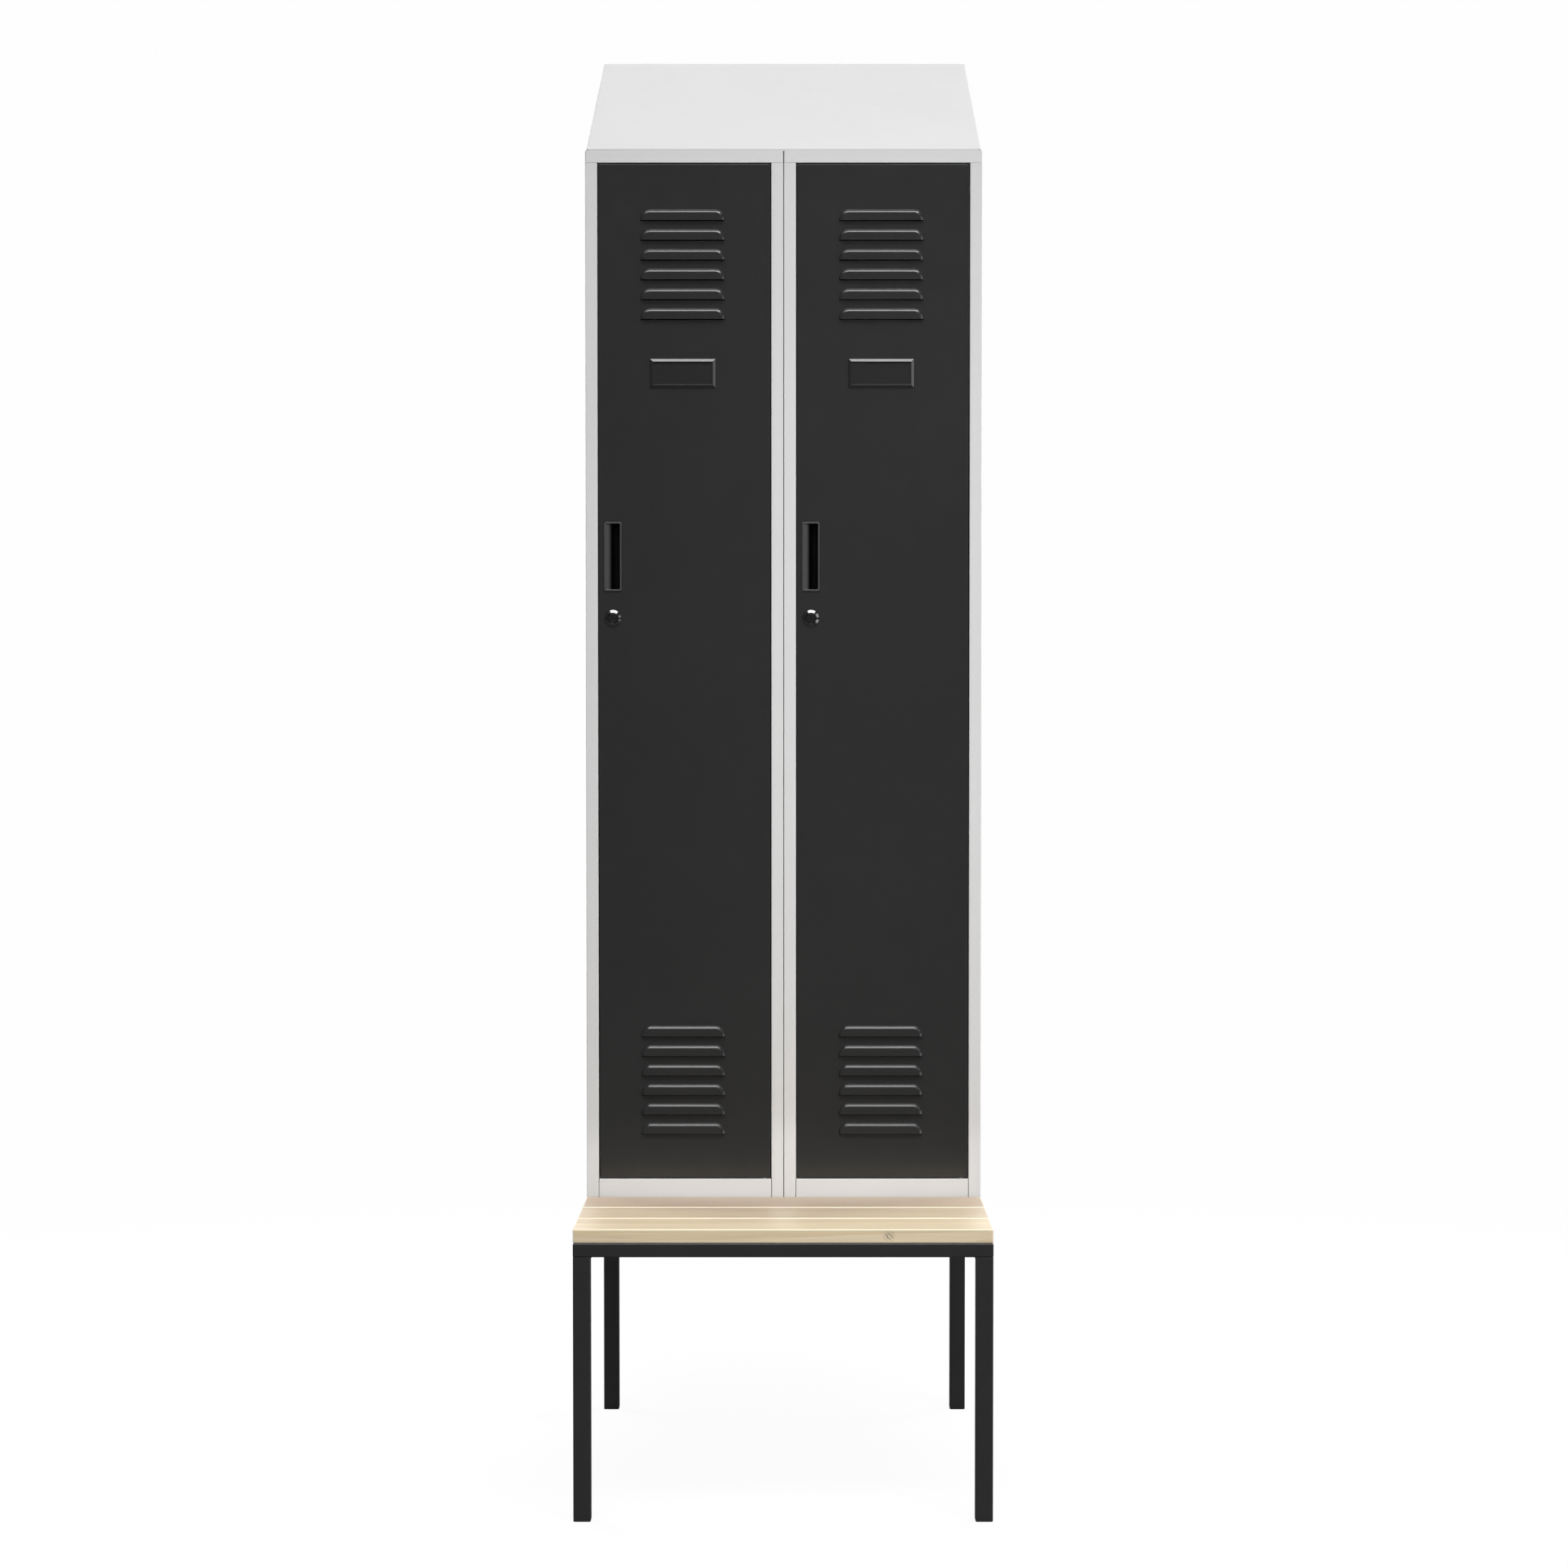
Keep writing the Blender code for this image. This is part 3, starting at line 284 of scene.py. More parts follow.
def add_node(tree, kind, inputs=(), **settings):
    """Adds one node of the tree's own kinds with its settings.

    The inputs are named or numbered, or else in the order of the sockets. Each is a value, or the
    output that is linked to it, or a node that gives its first output.
    """
    made = tree.nodes.new(kind if "Node" in kind else tree.bl_idname.replace("Tree", kind))
    for name, value in settings.items():
        setattr(made, name, value)
    for key, value in inputs.items() if isinstance(inputs, dict) else enumerate(inputs):
        if isinstance(value, bpy.types.Node):
            value = value.outputs[0]
        if isinstance(value, bpy.types.NodeSocket):
            tree.links.new(value, made.inputs[key])
        else:
            made.inputs[key].default_value = value
    return made


def new_material(name):
    """An empty material, the call that adds its nodes, and each point's place on the piece."""
    made = bpy.data.materials.new(name)
    made.use_nodes = True
    made.node_tree.nodes.clear()
    node = partial(add_node, made.node_tree)
    return made, node, node("TexCoord").outputs["Object"]


def powder_coat(name, tone, pale, peel, roughness, drawn, cloud, depth):
    """Polyester powder, sprayed on cleaned steel and stoved until it flows.

    It gives an even satin skin with the dimples of orange peel, fine specks of texture, faint
    clouds where the film is thicker, and a paler, smoother line along folds and cut edges, where
    the film draws thin and gets rubbed. Joints, creases and tight corners are painted darker from
    ambient occlusion: partly the bare joints that the powder misses, partly painted shade where
    little light gets in, round the louvres, label frames and handles too. The dimples are really
    about 1 mm across, drawn at 2.5 to 3 mm because finer ones don't show.
    """
    made, node, place = new_material(name)
    dimples, specks, clouds, handled = [
        node("TexNoise", {"Vector": place, "Scale": 1 / wide, "Detail": detail, "Roughness": rough})
        for wide, detail, rough in (
            (peel, 1.5, 0.45), (0.0011, 2.0, 0.6), (0.16, 3.0, 0.5), (0.035, 4.0, 0.6)
        )
    ]
    softened = node("Bevel", {"Radius": 0.0012}, samples=3)
    true_face = node("NewGeometry").outputs["Normal"]
    agree = node("VectorMath", (softened, true_face), operation="DOT_PRODUCT")
    edge = node("MapRange", (agree.outputs["Value"], 0.985, 0.80, 0.0, drawn))
    shade = node("MapRange", (clouds, *NOISE, 1 - cloud, 1 + cloud))
    grain = node("MapRange", (specks, *NOISE, 0.97, 1.03))
    # Painted shade: ambient occlusion darkens the coat in joints, creases and tight corners, also
    # round the louvres, label frames and handles.
    reached = node("AmbientOcclusion", {"Distance": 0.0018}, samples=6)
    painted_crease_shade = node("MapRange", (reached.outputs["AO"], 0.4, 0.93, 0.25, 1.0))
    both = node("Math", (shade, grain), operation="MULTIPLY")
    thin = node("Math", (both, painted_crease_shade), operation="MULTIPLY")
    coat = node("VectorMath", {0: tone, "Scale": thin}, operation="SCALE")
    skin = node("Mix", {0: edge, 6: coat, 7: (*pale, 1)}, data_type="RGBA")
    gloss = node("MapRange", (handled, *NOISE, roughness - 0.035, roughness + 0.035))
    rubbed = node("Math", (edge, -0.08, gloss), operation="MULTIPLY_ADD")
    fine = node("Bump", {"Height": specks, "Strength": depth / 2, "Distance": 0.0002})
    bump = node("Bump", {"Height": dimples, "Strength": depth, "Distance": 0.0006, "Normal": fine})
    shader = node("BsdfPrincipled", {
        "Base Color": skin.outputs[2], "Roughness": rubbed, "Normal": bump, "IOR": 1.5
    })
    node("OutputMaterial", {"Surface": shader})
    return made


def light_grey_powder_coat():
    return powder_coat(
        "light_grey_powder_coat", finishes().cabinet, linear("#E2E2E1"), 0.003, 0.42, 0.45, 0.012,
        0.12
    )


def black_grey_powder_coat():
    return powder_coat(
        "black_grey_powder_coat", finishes().door, linear("#3B3B3A"), 0.0028, 0.18, 0.5, 0.03, 0.05
    )


def black_powder_coat():
    return powder_coat(
        "black_powder_coat", finishes().bench, linear("#383838"), 0.0026, 0.34, 0.6, 0.03, 0.1
    )


def varnished_spruce():
    """Spruce boards, planed, sanded along the grain and given a clear satin varnish.

    The eye sees long straight rings, narrow dark late growth between wide pale early growth, fibres
    that run the board's length, broad warm and grey patches, a small pin knot on the front edge,
    and a soft sheen over it all. The rounded edges are painted paler, sanded wood plus a painted
    highlight, and the boards darken towards the back, heartwood tone plus painted shade from the
    cabinets above. Rings are 3 to 6 mm apart across the board.
    Fibres are about 0.4 mm wide, drawn at 1 mm so that they show.
    """
    made, node, place = new_material("varnished_spruce")
    tones = finishes()
    board = node("Attribute", attribute_name="slat", attribute_type="GEOMETRY").outputs["Fac"]
    apart = node("VectorMath", {0: (3.7, 0.31, 0.57), "Scale": board}, operation="SCALE")
    own = node("VectorMath", (place, apart), operation="ADD")
    along = node("Mapping", {"Vector": own, "Scale": (0.05, 1.0, 1.0)})
    fibre_place = node("Mapping", {"Vector": own, "Scale": (0.012, 1.0, 1.0)})
    sway = node("TexNoise", {"Vector": along, "Scale": 1 / 0.045, "Detail": 2.0})
    swayed = node("VectorMath", {0: sway.outputs["Color"], "Scale": 0.012}, operation="SCALE")
    ring_place = node("VectorMath", (along, swayed), operation="ADD")
    rings = node(
        "TexWave",
        {
            "Vector": ring_place, "Scale": 1 / (0.0052 * 2 * math.pi) * 0.95, "Distortion": 1.6,
            "Detail": 2.0, "Detail Scale": 1.3
        },
        wave_type="BANDS", bands_direction="Y", wave_profile="SAW"
    )
    late = node(
        "MapRange", (rings.outputs["Fac"], 0.45, 1.0, 0.0, 0.42), interpolation_type="SMOOTHSTEP"
    )
    patches = node("TexNoise", {
        "Vector": along, "Scale": 1 / 0.05, "Detail": 3.0, "Roughness": 0.6
    })
    blush = node("MapRange", (patches, 0.38, 0.68, 0.0, 0.85))
    fibres = node("TexNoise", {
        "Vector": fibre_place, "Scale": 1 / 0.001, "Detail": 3.0, "Roughness": 0.65
    })
    streak = node("MapRange", (fibres, *NOISE, 0.90, 1.08))
    # Painted shade: the boards darken and pinken towards the back, a heartwood tone plus the
    # cabinets' shadow on the back board.
    inner = node("MapRange", (board, 0.0, 2.0, 0.0, 0.8))
    wood = (*tones.wood_pale, 1)
    for share, tone in (
        (blush, tones.wood_pink), (inner, tones.heartwood_and_shade), (late, tones.wood_dark)
    ):
        wood = node("Mix", {0: share, 6: wood, 7: (*tone, 1)}, data_type="RGBA").outputs[2]
    wood = node("VectorMath", {0: wood, "Scale": streak}, operation="SCALE")
    knot_from = node("VectorMath", (place, (0.151, -0.4175, 0.411)), operation="SUBTRACT")
    knot_shape = node("Mapping", {"Vector": knot_from, "Scale": (110.0, 160.0, 130.0)})
    knot_reach = node("VectorMath", (knot_shape,), operation="LENGTH")
    knot_core = node("MapRange", (knot_reach.outputs["Value"], 1.15, 0.2, 0.0, 1.0))
    knot_lines = node("TexWave", {
        "Vector": knot_from, "Scale": 95.0, "Distortion": 5.0, "Detail": 3.0, "Detail Scale": 2.0
    }, bands_direction="DIAGONAL")
    knot_mask = node("Math", (knot_core, knot_lines.outputs["Fac"]), operation="MULTIPLY")
    wood = node("Mix", {0: knot_mask, 6: wood, 7: (*tones.knot, 1)}, data_type="RGBA").outputs[2]
    # Painted highlight: the rounded edges turn paler, sanded wood plus the highlight that they
    # catch.
    facing = node("VectorMath", (place.node.outputs["Normal"],), operation="ABSOLUTE")
    parts = node("SeparateXYZ", (facing,))
    flat = node("Math", (parts.outputs["Y"], parts.outputs["Z"]), operation="MAXIMUM")
    flat = node("Math", (flat, parts.outputs["X"]), operation="MAXIMUM")
    sanded = node("MapRange", (flat, 0.98, 0.85, 0.0, 0.8))
    wood = node("Mix", {0: sanded, 6: wood, 7: (*tones.wood_edge_and_highlight, 1)}, data_type="RGBA").outputs[2]
    gloss = node("MapRange", (rings.outputs["Fac"], 0, 1, 0.46, 0.38))
    grain = node("Bump", {"Height": fibres, "Strength": 0.22, "Distance": 0.0003})
    raised = node("Bump", {
        "Height": rings.outputs["Fac"], "Strength": 0.10, "Distance": 0.0003, "Normal": grain
    })
    shader = node("BsdfPrincipled", {
        "Base Color": wood, "Roughness": gloss, "Normal": raised, "IOR": 1.5, "Coat Weight": 0.25,
        "Coat Roughness": 0.28, "Coat IOR": 1.5
    })
    node("OutputMaterial", {"Surface": shader})
    return made


def moulded_plastic(name, tone, texture, roughness, depth, handled=0.05, ior=1.46, pocket=None):
    """Injection-moulded plastic from a spark-eroded mould.

    It gives a fine even leather of pits that softens the gloss, with slightly shinier patches where
    hands touch it. The pits are about 0.3 mm across, drawn at twice that so that they show. A
    pocket's inside, from the plane y backwards, is painted black and its reflection turned down:
    painted shade deep in the recess.
    """
    made, node, place = new_material(name)
    pits = node("TexNoise", {
        "Vector": place, "Scale": 1 / texture, "Detail": 2.0, "Roughness": 0.5
    })
    touched = node("TexNoise", {"Vector": place, "Scale": 1 / 0.02, "Detail": 3.0})
    gloss = node("MapRange", (touched, 0.35, 0.65, roughness - handled, roughness + handled))
    shade = node("MapRange", (pits, *NOISE, 0.88, 1.12))
    skin = node("VectorMath", {0: tone, "Scale": shade}, operation="SCALE")
    # Painted shade: deeper in the pocket the colour goes black and the reflection fades.
    if pocket is not None:
        plane, reach, dark = pocket
        along = node("SeparateXYZ", (place,)).outputs["Y"]
        deep = node("MapRange", (along, plane, plane + reach), interpolation_type="SMOOTHSTEP")
        skin = node("Mix", {0: deep, 6: skin, 7: (*dark, 1)}, data_type="RGBA").outputs[2]
    bump = node("Bump", {"Height": pits, "Strength": depth, "Distance": 0.0002})
    shader = node("BsdfPrincipled", {
        "Base Color": skin, "Roughness": gloss, "Normal": bump, "IOR": ior
    })
    if pocket is not None:
        matt = node("MapRange", (deep, 0, 1, 0.5, 0.1))
        made.node_tree.links.new(matt.outputs[0], shader.inputs["Specular IOR Level"])
    node("OutputMaterial", {"Surface": shader})
    return made


def moulded_abs():
    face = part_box("left_handle_cup")[0].y + sizes().cup_flange_height
    # The pocket paints shade into the cup's depth.
    return moulded_plastic("moulded_black_abs", finishes().plastic, 0.0006, 0.42, 0.2, pocket=(
        face, 0.003, finishes().pocket
    ))


def moulded_label_abs():
    return moulded_plastic(
        "satin_black_abs", finishes().label, 0.0006, 0.20, 0.04, handled=0.015, ior=1.58
    )


def moulded_polyethylene():
    return moulded_plastic("moulded_black_polyethylene", finishes().foot, 0.0008, 0.55, 0.2)


def black_lacquer():
    """Die-cast zinc, turned bright and dipped in black lacquer.

    It gives a deep gloss with sharp highlights, broken only by the faint rings that the turning
    left under it.
    """
    made, node, place = new_material("black_lacquered_zinc")
    flow = node("TexNoise", {"Vector": place, "Scale": 1 / 0.0025, "Detail": 1.0})
    gloss = node("MapRange", (flow, 0, 1, 0.09, 0.13))
    bump = node("Bump", {"Height": flow, "Strength": 0.015, "Distance": 0.0003})
    shader = node("BsdfPrincipled", {
        "Base Color": (*finishes().lacquer, 1), "Roughness": gloss, "Normal": bump, "IOR": 2.1
    })
    node("OutputMaterial", {"Surface": shader})
    return made


def zinc_plate():
    """Steel, tumbled and then plated in bright zinc.

    It gives a cool metal with a fine random scratch from the tumbling, and a faint blue and straw
    bloom in patches.
    """
    made, node, place = new_material("bright_zinc_plate")
    bloom = node("TexNoise", {"Vector": place, "Scale": 1 / 0.012, "Detail": 3.0})
    tumbled = node("TexNoise", {
        "Vector": place, "Scale": 1 / 0.0012, "Detail": 4.0, "Roughness": 0.7
    })
    tones = {6: (*finishes().zinc, 1), 7: (*linear("#B4AD9B"), 1)}
    tint = node("Mix", {0: bloom, **tones}, data_type="RGBA")
    gloss = node("MapRange", (tumbled, *NOISE, 0.24, 0.42))
    bump = node("Bump", {"Height": tumbled, "Strength": 0.08, "Distance": 0.0002})
    shader = node("BsdfPrincipled", {
        "Base Color": tint.outputs[2], "Metallic": 1.0, "Roughness": gloss, "Normal": bump
    })
    node("OutputMaterial", {"Surface": shader})
    return made


def matt_white_floor():
    """A roll of matt white paper, laid out under the piece.

    It gives a barely mottled white. The light that it throws back up is that of a greyer floor, so
    the piece's undersides stay dark, and it fades into the backdrop a few metres out.
    """
    backdrop = studio_settings().backdrop
    made, node, place = new_material("matt_white_floor")
    mottle = node("TexNoise", {"Vector": place, "Scale": 1.5, "Detail": 3.0})
    shade = node("MapRange", (mottle, 0, 1, 0.985, 1.015))
    tone = node("VectorMath", {0: finishes().floor, "Scale": shade}, operation="SCALE")
    away = node("VectorMath", (place,), operation="LENGTH")
    far = node(
        "MapRange", (away.outputs["Value"], 1.0, 3.5, 0.93, 1.0), interpolation_type="SMOOTHSTEP"
    )
    path = node("LightPath")
    lit = node("BsdfDiffuse", {"Color": tone})
    glow = node("Emission", {"Color": WHITE, "Strength": backdrop})
    paper = node("MixShader", (far, lit, glow))
    greys = {6: (*linear("#646464"), 1), 7: (*linear("#8C8C8C"), 1)}
    grey = node("Mix", {0: path.outputs["Is Diffuse Ray"], **greys}, data_type="RGBA")
    bounce = node("BsdfDiffuse", {"Color": grey.outputs[2]})
    both = node("MixShader", (path.outputs["Is Camera Ray"], bounce, paper))
    node("OutputMaterial", {"Surface": both})
    return made


def studio_world():
    """The white backdrop that the camera sees, and the dim even light of the room."""
    studio = studio_settings()
    world = bpy.data.worlds.new("studio")
    world.use_nodes = True
    world.node_tree.nodes.clear()
    node = partial(add_node, world.node_tree)
    seen = node("LightPath").outputs["Is Camera Ray"]
    room = node("Background", {"Color": WHITE, "Strength": studio.room})
    white = node("Background", {"Color": WHITE, "Strength": studio.backdrop})
    both = node("MixShader", (seen, room, white))
    node("OutputWorld", {"Surface": both})
    return world


MAKERS = {
    "cabinet_grey": light_grey_powder_coat,
    "door_black": black_grey_powder_coat,
    "bench_black": black_powder_coat,
    "slat_wood": varnished_spruce,
    "handle_plastic": moulded_abs,
    "label_black": moulded_label_abs,
    "foot_plastic": moulded_polyethylene,
    "lock_black": black_lacquer,
    "zinc_steel": zinc_plate,
}
made_finishes = {}


def finish(slot):
    """The material of one of the record's slots, made once."""
    if slot not in made_finishes:
        made_finishes[slot] = MAKERS[slot]()
    return made_finishes[slot]


# Meshes and pieces


def rounded(low, high, radius, steps=FOLD_STEPS):
    """A rectangle's outline with round corners, anticlockwise from the lower left one."""
    centres = (
        (low[0] + radius, low[1] + radius),
        (high[0] - radius, low[1] + radius),
        (high[0] - radius, high[1] - radius),
        (low[0] + radius, high[1] - radius),
    )
    points = []
    for quarter, (x, z) in enumerate(centres):
        for k in range(steps + 1):
            turn = math.radians(180 + 90 * quarter + 90 * k / steps)
            points.append((x + radius * math.cos(turn), z + radius * math.sin(turn)))
    return points


def quarter_turn(steps):
    return [math.radians(90 * k / steps) for k in range(steps + 1)]


def circle(x, z, radius, sides):
    turns = [math.tau * k / sides for k in range(sides)]
    return [(x + radius * math.cos(a), z + radius * math.sin(a)) for a in turns]


def framed(low, high, inset, radius, steps=FOLD_STEPS):
    """The outline of a box's front, moved in from its edges, with round corners."""
    corners = (low.x + inset, low.z + inset), (high.x - inset, high.z - inset)
    return rounded(*corners, radius, steps)


def middle_of(low, high):
    return (low.x + high.x) / 2, (low.y + high.y) / 2, (low.z + high.z) / 2


def ring(work, points, y):
    return [work.verts.new((x, y, z)) for x, z in points]


def bridge(work, rings, skip=()):
    """Quads from each ring to the next, apart from the places in skip, given as (ring, point)."""
    for r, (near, far) in enumerate(zip(rings, rings[1:])):
        for k in range(len(near)):
            if (r, k) not in skip:
                n = (k + 1) % len(near)
                work.faces.new((near[k], near[n], far[n], far[k]))


def fill(work, rings):
    """Fills the flat area between the first ring and the others, which are holes in it."""
    edges = []
    for points in rings:
        for pair in zip(points, points[1:] + points[:1]):
            edges.append(work.edges.get(pair) or work.edges.new(pair))
    bmesh.ops.triangle_fill(work, use_beauty=True, use_dissolve=False, edges=edges)


def eased(before, corner, after, reach, steps=4):
    """A small curve in place of a corner, from the reach before it to the reach after it."""
    corner = Vector(corner)
    start = corner + (Vector(before) - corner).normalized() * reach
    end = corner + (Vector(after) - corner).normalized() * reach
    points = []
    for k in range(steps + 1):
        t = k / steps
        points.append(start.lerp(corner, t).lerp(corner.lerp(end, t), t))
    return points


def block(work, low, high):
    """A closed box between two corners."""
    outline = ((low[0], low[2]), (high[0], low[2]), (high[0], high[2]), (low[0], high[2]))
    near, far = (ring(work, outline, y) for y in (low[1], high[1]))
    bridge(work, [far, near])
    work.faces.new(near)
    work.faces.new(reversed(far))


def plate(work, ends):
    """A closed plate between two outlines of points."""
    rings = [[work.verts.new(point) for point in points] for points in ends]
    bridge(work, rings)
    for points in rings:
        work.faces.new(points)


def new_piece(name, work=None):
    mesh = bpy.data.meshes.new(name)
    if work is not None:
        work.to_mesh(mesh)
        work.free()
    piece = bpy.data.objects.new(name, mesh)
    bpy.context.scene.collection.objects.link(piece)
    return piece


def settle(piece):
    """Keeps the mesh that the piece's modifiers make, and removes them."""
    depsgraph = bpy.context.evaluated_depsgraph_get()
    mesh = bpy.data.meshes.new_from_object(
        piece.evaluated_get(depsgraph), preserve_all_data_layers=True, depsgraph=depsgraph
    )
    piece.modifiers.clear()
    old, piece.data = piece.data, mesh
    name = old.name
    bpy.data.meshes.remove(old)
    mesh.name = name
    if not mesh.polygons:
        raise RuntimeError(f"{piece.name} came out empty")


def flatten(piece):
    """Smooth shading that keeps the large faces flat and the cut edges crisp."""
    if piece.modifiers:
        settle(piece)
    piece.data.shade_smooth()
    piece.data.set_sharp_from_angle(angle=CUT_EDGE)
    shade = piece.modifiers.new("Flat faces", "WEIGHTED_NORMAL")
    shade.mode = "FACE_AREA"
    shade.keep_sharp = True
    settle(piece)


def ease(piece, radius, segments=2):
    """Rounds the piece's sharper edges."""
    bevel = piece.modifiers.new("Eased edges", "BEVEL")
    bevel.width = radius
    bevel.segments = segments
    bevel.limit_method = "ANGLE"
    bevel.angle_limit = EASED_EDGE
    bevel.miter_outer = "MITER_ARC"
    flatten(piece)


def hand_over(piece, slot, body, *nodes):
    """Gives the piece its finish, its body, and the nodes of the model that it stands for."""
    piece.data.materials.clear()
    piece.data.materials.append(finish(slot))
    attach(piece, body)
    if nodes:
        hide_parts(*nodes)


def stand_in(work, node, slot, body):
    """Turns the faces outwards and hands the mesh over in the node's place."""
    bmesh.ops.recalc_face_normals(work, faces=work.faces)
    piece = new_piece(f"{node}_finished", work)
    flatten(piece)
    hand_over(piece, slot, body, node)


def dress(node, slot, radius=None):
    """A copy of a node with its triangles joined and its edges eased, in the node's place."""
    source = frame["nodes"][node]
    work = bmesh.new()
    work.from_mesh(source.data)
    bmesh.ops.remove_doubles(work, verts=work.verts, dist=JOIN)
    bmesh.ops.dissolve_limit(work, angle_limit=FLAT, verts=work.verts, edges=work.edges)
    piece = new_piece(f"{node}_finished", work)
    ease(piece, sizes().edge_round if radius is None else radius)
    hand_over(piece, slot, source["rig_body"], node)
    return piece


def new_tree(name, inputs):
    """A Geometry Nodes tree, the call that adds its nodes, and its named inputs inside it."""
    tree = bpy.data.node_groups.new(name, "GeometryNodeTree")
    tree.interface.new_socket("Geometry", in_out="OUTPUT", socket_type="NodeSocketGeometry")
    tree.interface.new_socket("Geometry", in_out="INPUT", socket_type="NodeSocketGeometry")
    for label, kind in inputs.items():
        tree.interface.new_socket(label, in_out="INPUT", socket_type=f"NodeSocket{kind}")
    return tree, partial(add_node, tree), tree.nodes.new("NodeGroupInput").outputs


def end_tree(node, given, placed, smooth=False):
    """The end of a tree: its copies made real, with their material."""
    real = node("RealizeInstances", (placed,))
    if smooth:
        real = node("SetShadeSmooth", {"Geometry": real})
    coated = node("SetMaterial", {"Geometry": real, "Material": given["Finish"]})
    node("NodeGroupOutput", (coated,))


def run_tree(piece, tree, values):
    """Puts a tree on the piece, with each input set by its identifier."""
    modifier = piece.modifiers.new(tree.name, "NODES")
    modifier.node_group = tree
    for item in tree.interface.items_tree:
        if item.in_out == "INPUT" and item.name in values:
            modifier[item.identifier] = values[item.name]


def repeat_tree():
    """Copies of one shape in two straight rows."""
    tree, node, given = new_tree("Rows of louvres", {
        "Hood": "Object", "Rows": "Int", "Step": "Vector", "Upper start": "Vector",
        "Lower start": "Vector", "Finish": "Material"
    })
    rows = [
        node("MeshLine", {
            "Count": given["Rows"], "Start Location": given[start], "Offset": given["Step"]
        }) for start in ("Upper start", "Lower start")
    ]
    points = node("JoinGeometry")
    for row in rows:
        tree.links.new(row.outputs[0], points.inputs[0])
    hood = node("ObjectInfo", {"Object": given["Hood"]}).outputs["Geometry"]
    placed = node("InstanceOnPoints", {"Points": points, "Instance": hood})
    end_tree(node, given, placed)
    return tree


def slat_tree():
    """A row of boards, each with its number kept as the attribute slat."""
    tree, node, given = new_tree("Row of slats", {
        "Count": "Int", "Board": "Vector", "Start": "Vector", "Step": "Vector", "Finish": "Material"
    })
    row = node("MeshLine", {
        "Count": given["Count"], "Start Location": given["Start"], "Offset": given["Step"]
    })
    board = node("MeshCube", {"Size": given["Board"]})
    placed = node("InstanceOnPoints", {"Points": row, "Instance": board})
    order = node("InputIndex")
    numbered = node("StoreNamedAttribute", {
        "Geometry": placed, "Name": "slat"
    }, data_type="FLOAT", domain="INSTANCE")
    value = next(s for s in numbered.inputs if s.name == "Value" and s.enabled)
    tree.links.new(order.outputs[0], value)
    end_tree(node, given, numbered)
    return tree


def fastener_tree():
    """One fastener on each point, turned so that its head faces along the point's attribute out."""
    tree, node, given = new_tree("Fasteners", {"Fastener": "Object", "Finish": "Material"})
    out = node("InputNamedAttribute", {"Name": "out"}, data_type="FLOAT_VECTOR")
    turned = node(
        "FunctionNodeAlignRotationToVector", {"Vector": out.outputs["Attribute"]}, axis="Z"
    )
    head = node("ObjectInfo", {"Object": given["Fastener"]}).outputs["Geometry"]
    placed = node("InstanceOnPoints", {
        "Points": given["Geometry"], "Instance": head, "Rotation": turned
    })
    end_tree(node, given, placed)
    return tree


def weld_tree():
    """Overlapping ripples of weld metal along each edge of the mesh, with slightly uneven sizes."""
    tree, node, given = new_tree("Weld beads", {
        "Radius": "Float", "Pitch": "Float", "Seed": "Int", "Finish": "Material"
    })
    path = node("MeshToCurve", {"Mesh": given["Geometry"]})
    spaced = node("CurveToPoints", {"Curve": path, "Length": given["Pitch"]}, mode="LENGTH")
    ripple = node("MeshIcoSphere", {"Radius": given["Radius"], "Subdivisions": 2})
    uneven = node(
        "FunctionNodeRandomValue", {2: 0.86, 3: 1.1, "Seed": given["Seed"]}, data_type="FLOAT"
    )
    placed = node("InstanceOnPoints", {
        "Points": spaced.outputs["Points"], "Instance": ripple, "Scale": uneven.outputs[1]
    })
    end_tree(node, given, placed, smooth=True)
    return tree


# Doors


def hood_outline(s, inset):
    """A louvre's outline from its lower left corner over the top, moved in by inset."""
    half = s.louvre_width / 2 - inset
    top = s.louvre_height - inset
    radius = s.louvre_corner - inset
    left = [
        (radius - half - radius * math.cos(a), top - radius + radius * math.sin(a))
        for a in quarter_turn(HOOD_STEPS)
    ]
    return [(-half, 0.0), *left, *[(-x, z) for x, z in reversed(left)], (half, 0.0)]


def hood_mesh(s):
    """One louvre, pressed out of the sheet and open below.

    From outside in it has a flat collar, a small fillet at the foot, a wall, a slope and a face.
    """
    draft, rise, foot = s.louvre_draft, s.louvre_rise, s.louvre_foot
    shoulder, crest = rise - s.louvre_drop, draft + s.louvre_bevel
    corner = foot / 2
    profile = [
        (-foot - s.collar, 0.0),
        (-foot, 0.0),
        (-foot * 0.45, foot * 0.12),
        (-foot * 0.1, foot * 0.5),
        (foot * 0.2, foot * 1.2),
        (draft - corner * 0.38, shoulder - corner * 0.92),
        (draft + corner * 0.86, shoulder + corner * 0.51),
        (crest - corner * 0.86, rise - corner * 0.51),
        (crest + corner, rise),
        (crest + corner * 3, rise),
    ]
    work = bmesh.new()
    rows = [
        [work.verts.new((x, -up, z)) for x, z in hood_outline(s, inset)] for inset, up in profile
    ]
    for near, far in zip(rows, rows[1:]):
        for k in range(len(near) - 1):
            work.faces.new((near[k], near[k + 1], far[k + 1], far[k]))
    work.faces.new(rows[-1])
    return new_piece("louvre_hood", work)


def collared(work, outline, collar, y):
    """Lays a flat strip round a hole and gives its outer ring. The outline takes a distance."""
    outer, inner = ring(work, outline(collar), y), ring(work, outline(0), y)
    bridge(work, [outer, inner])
    return outer


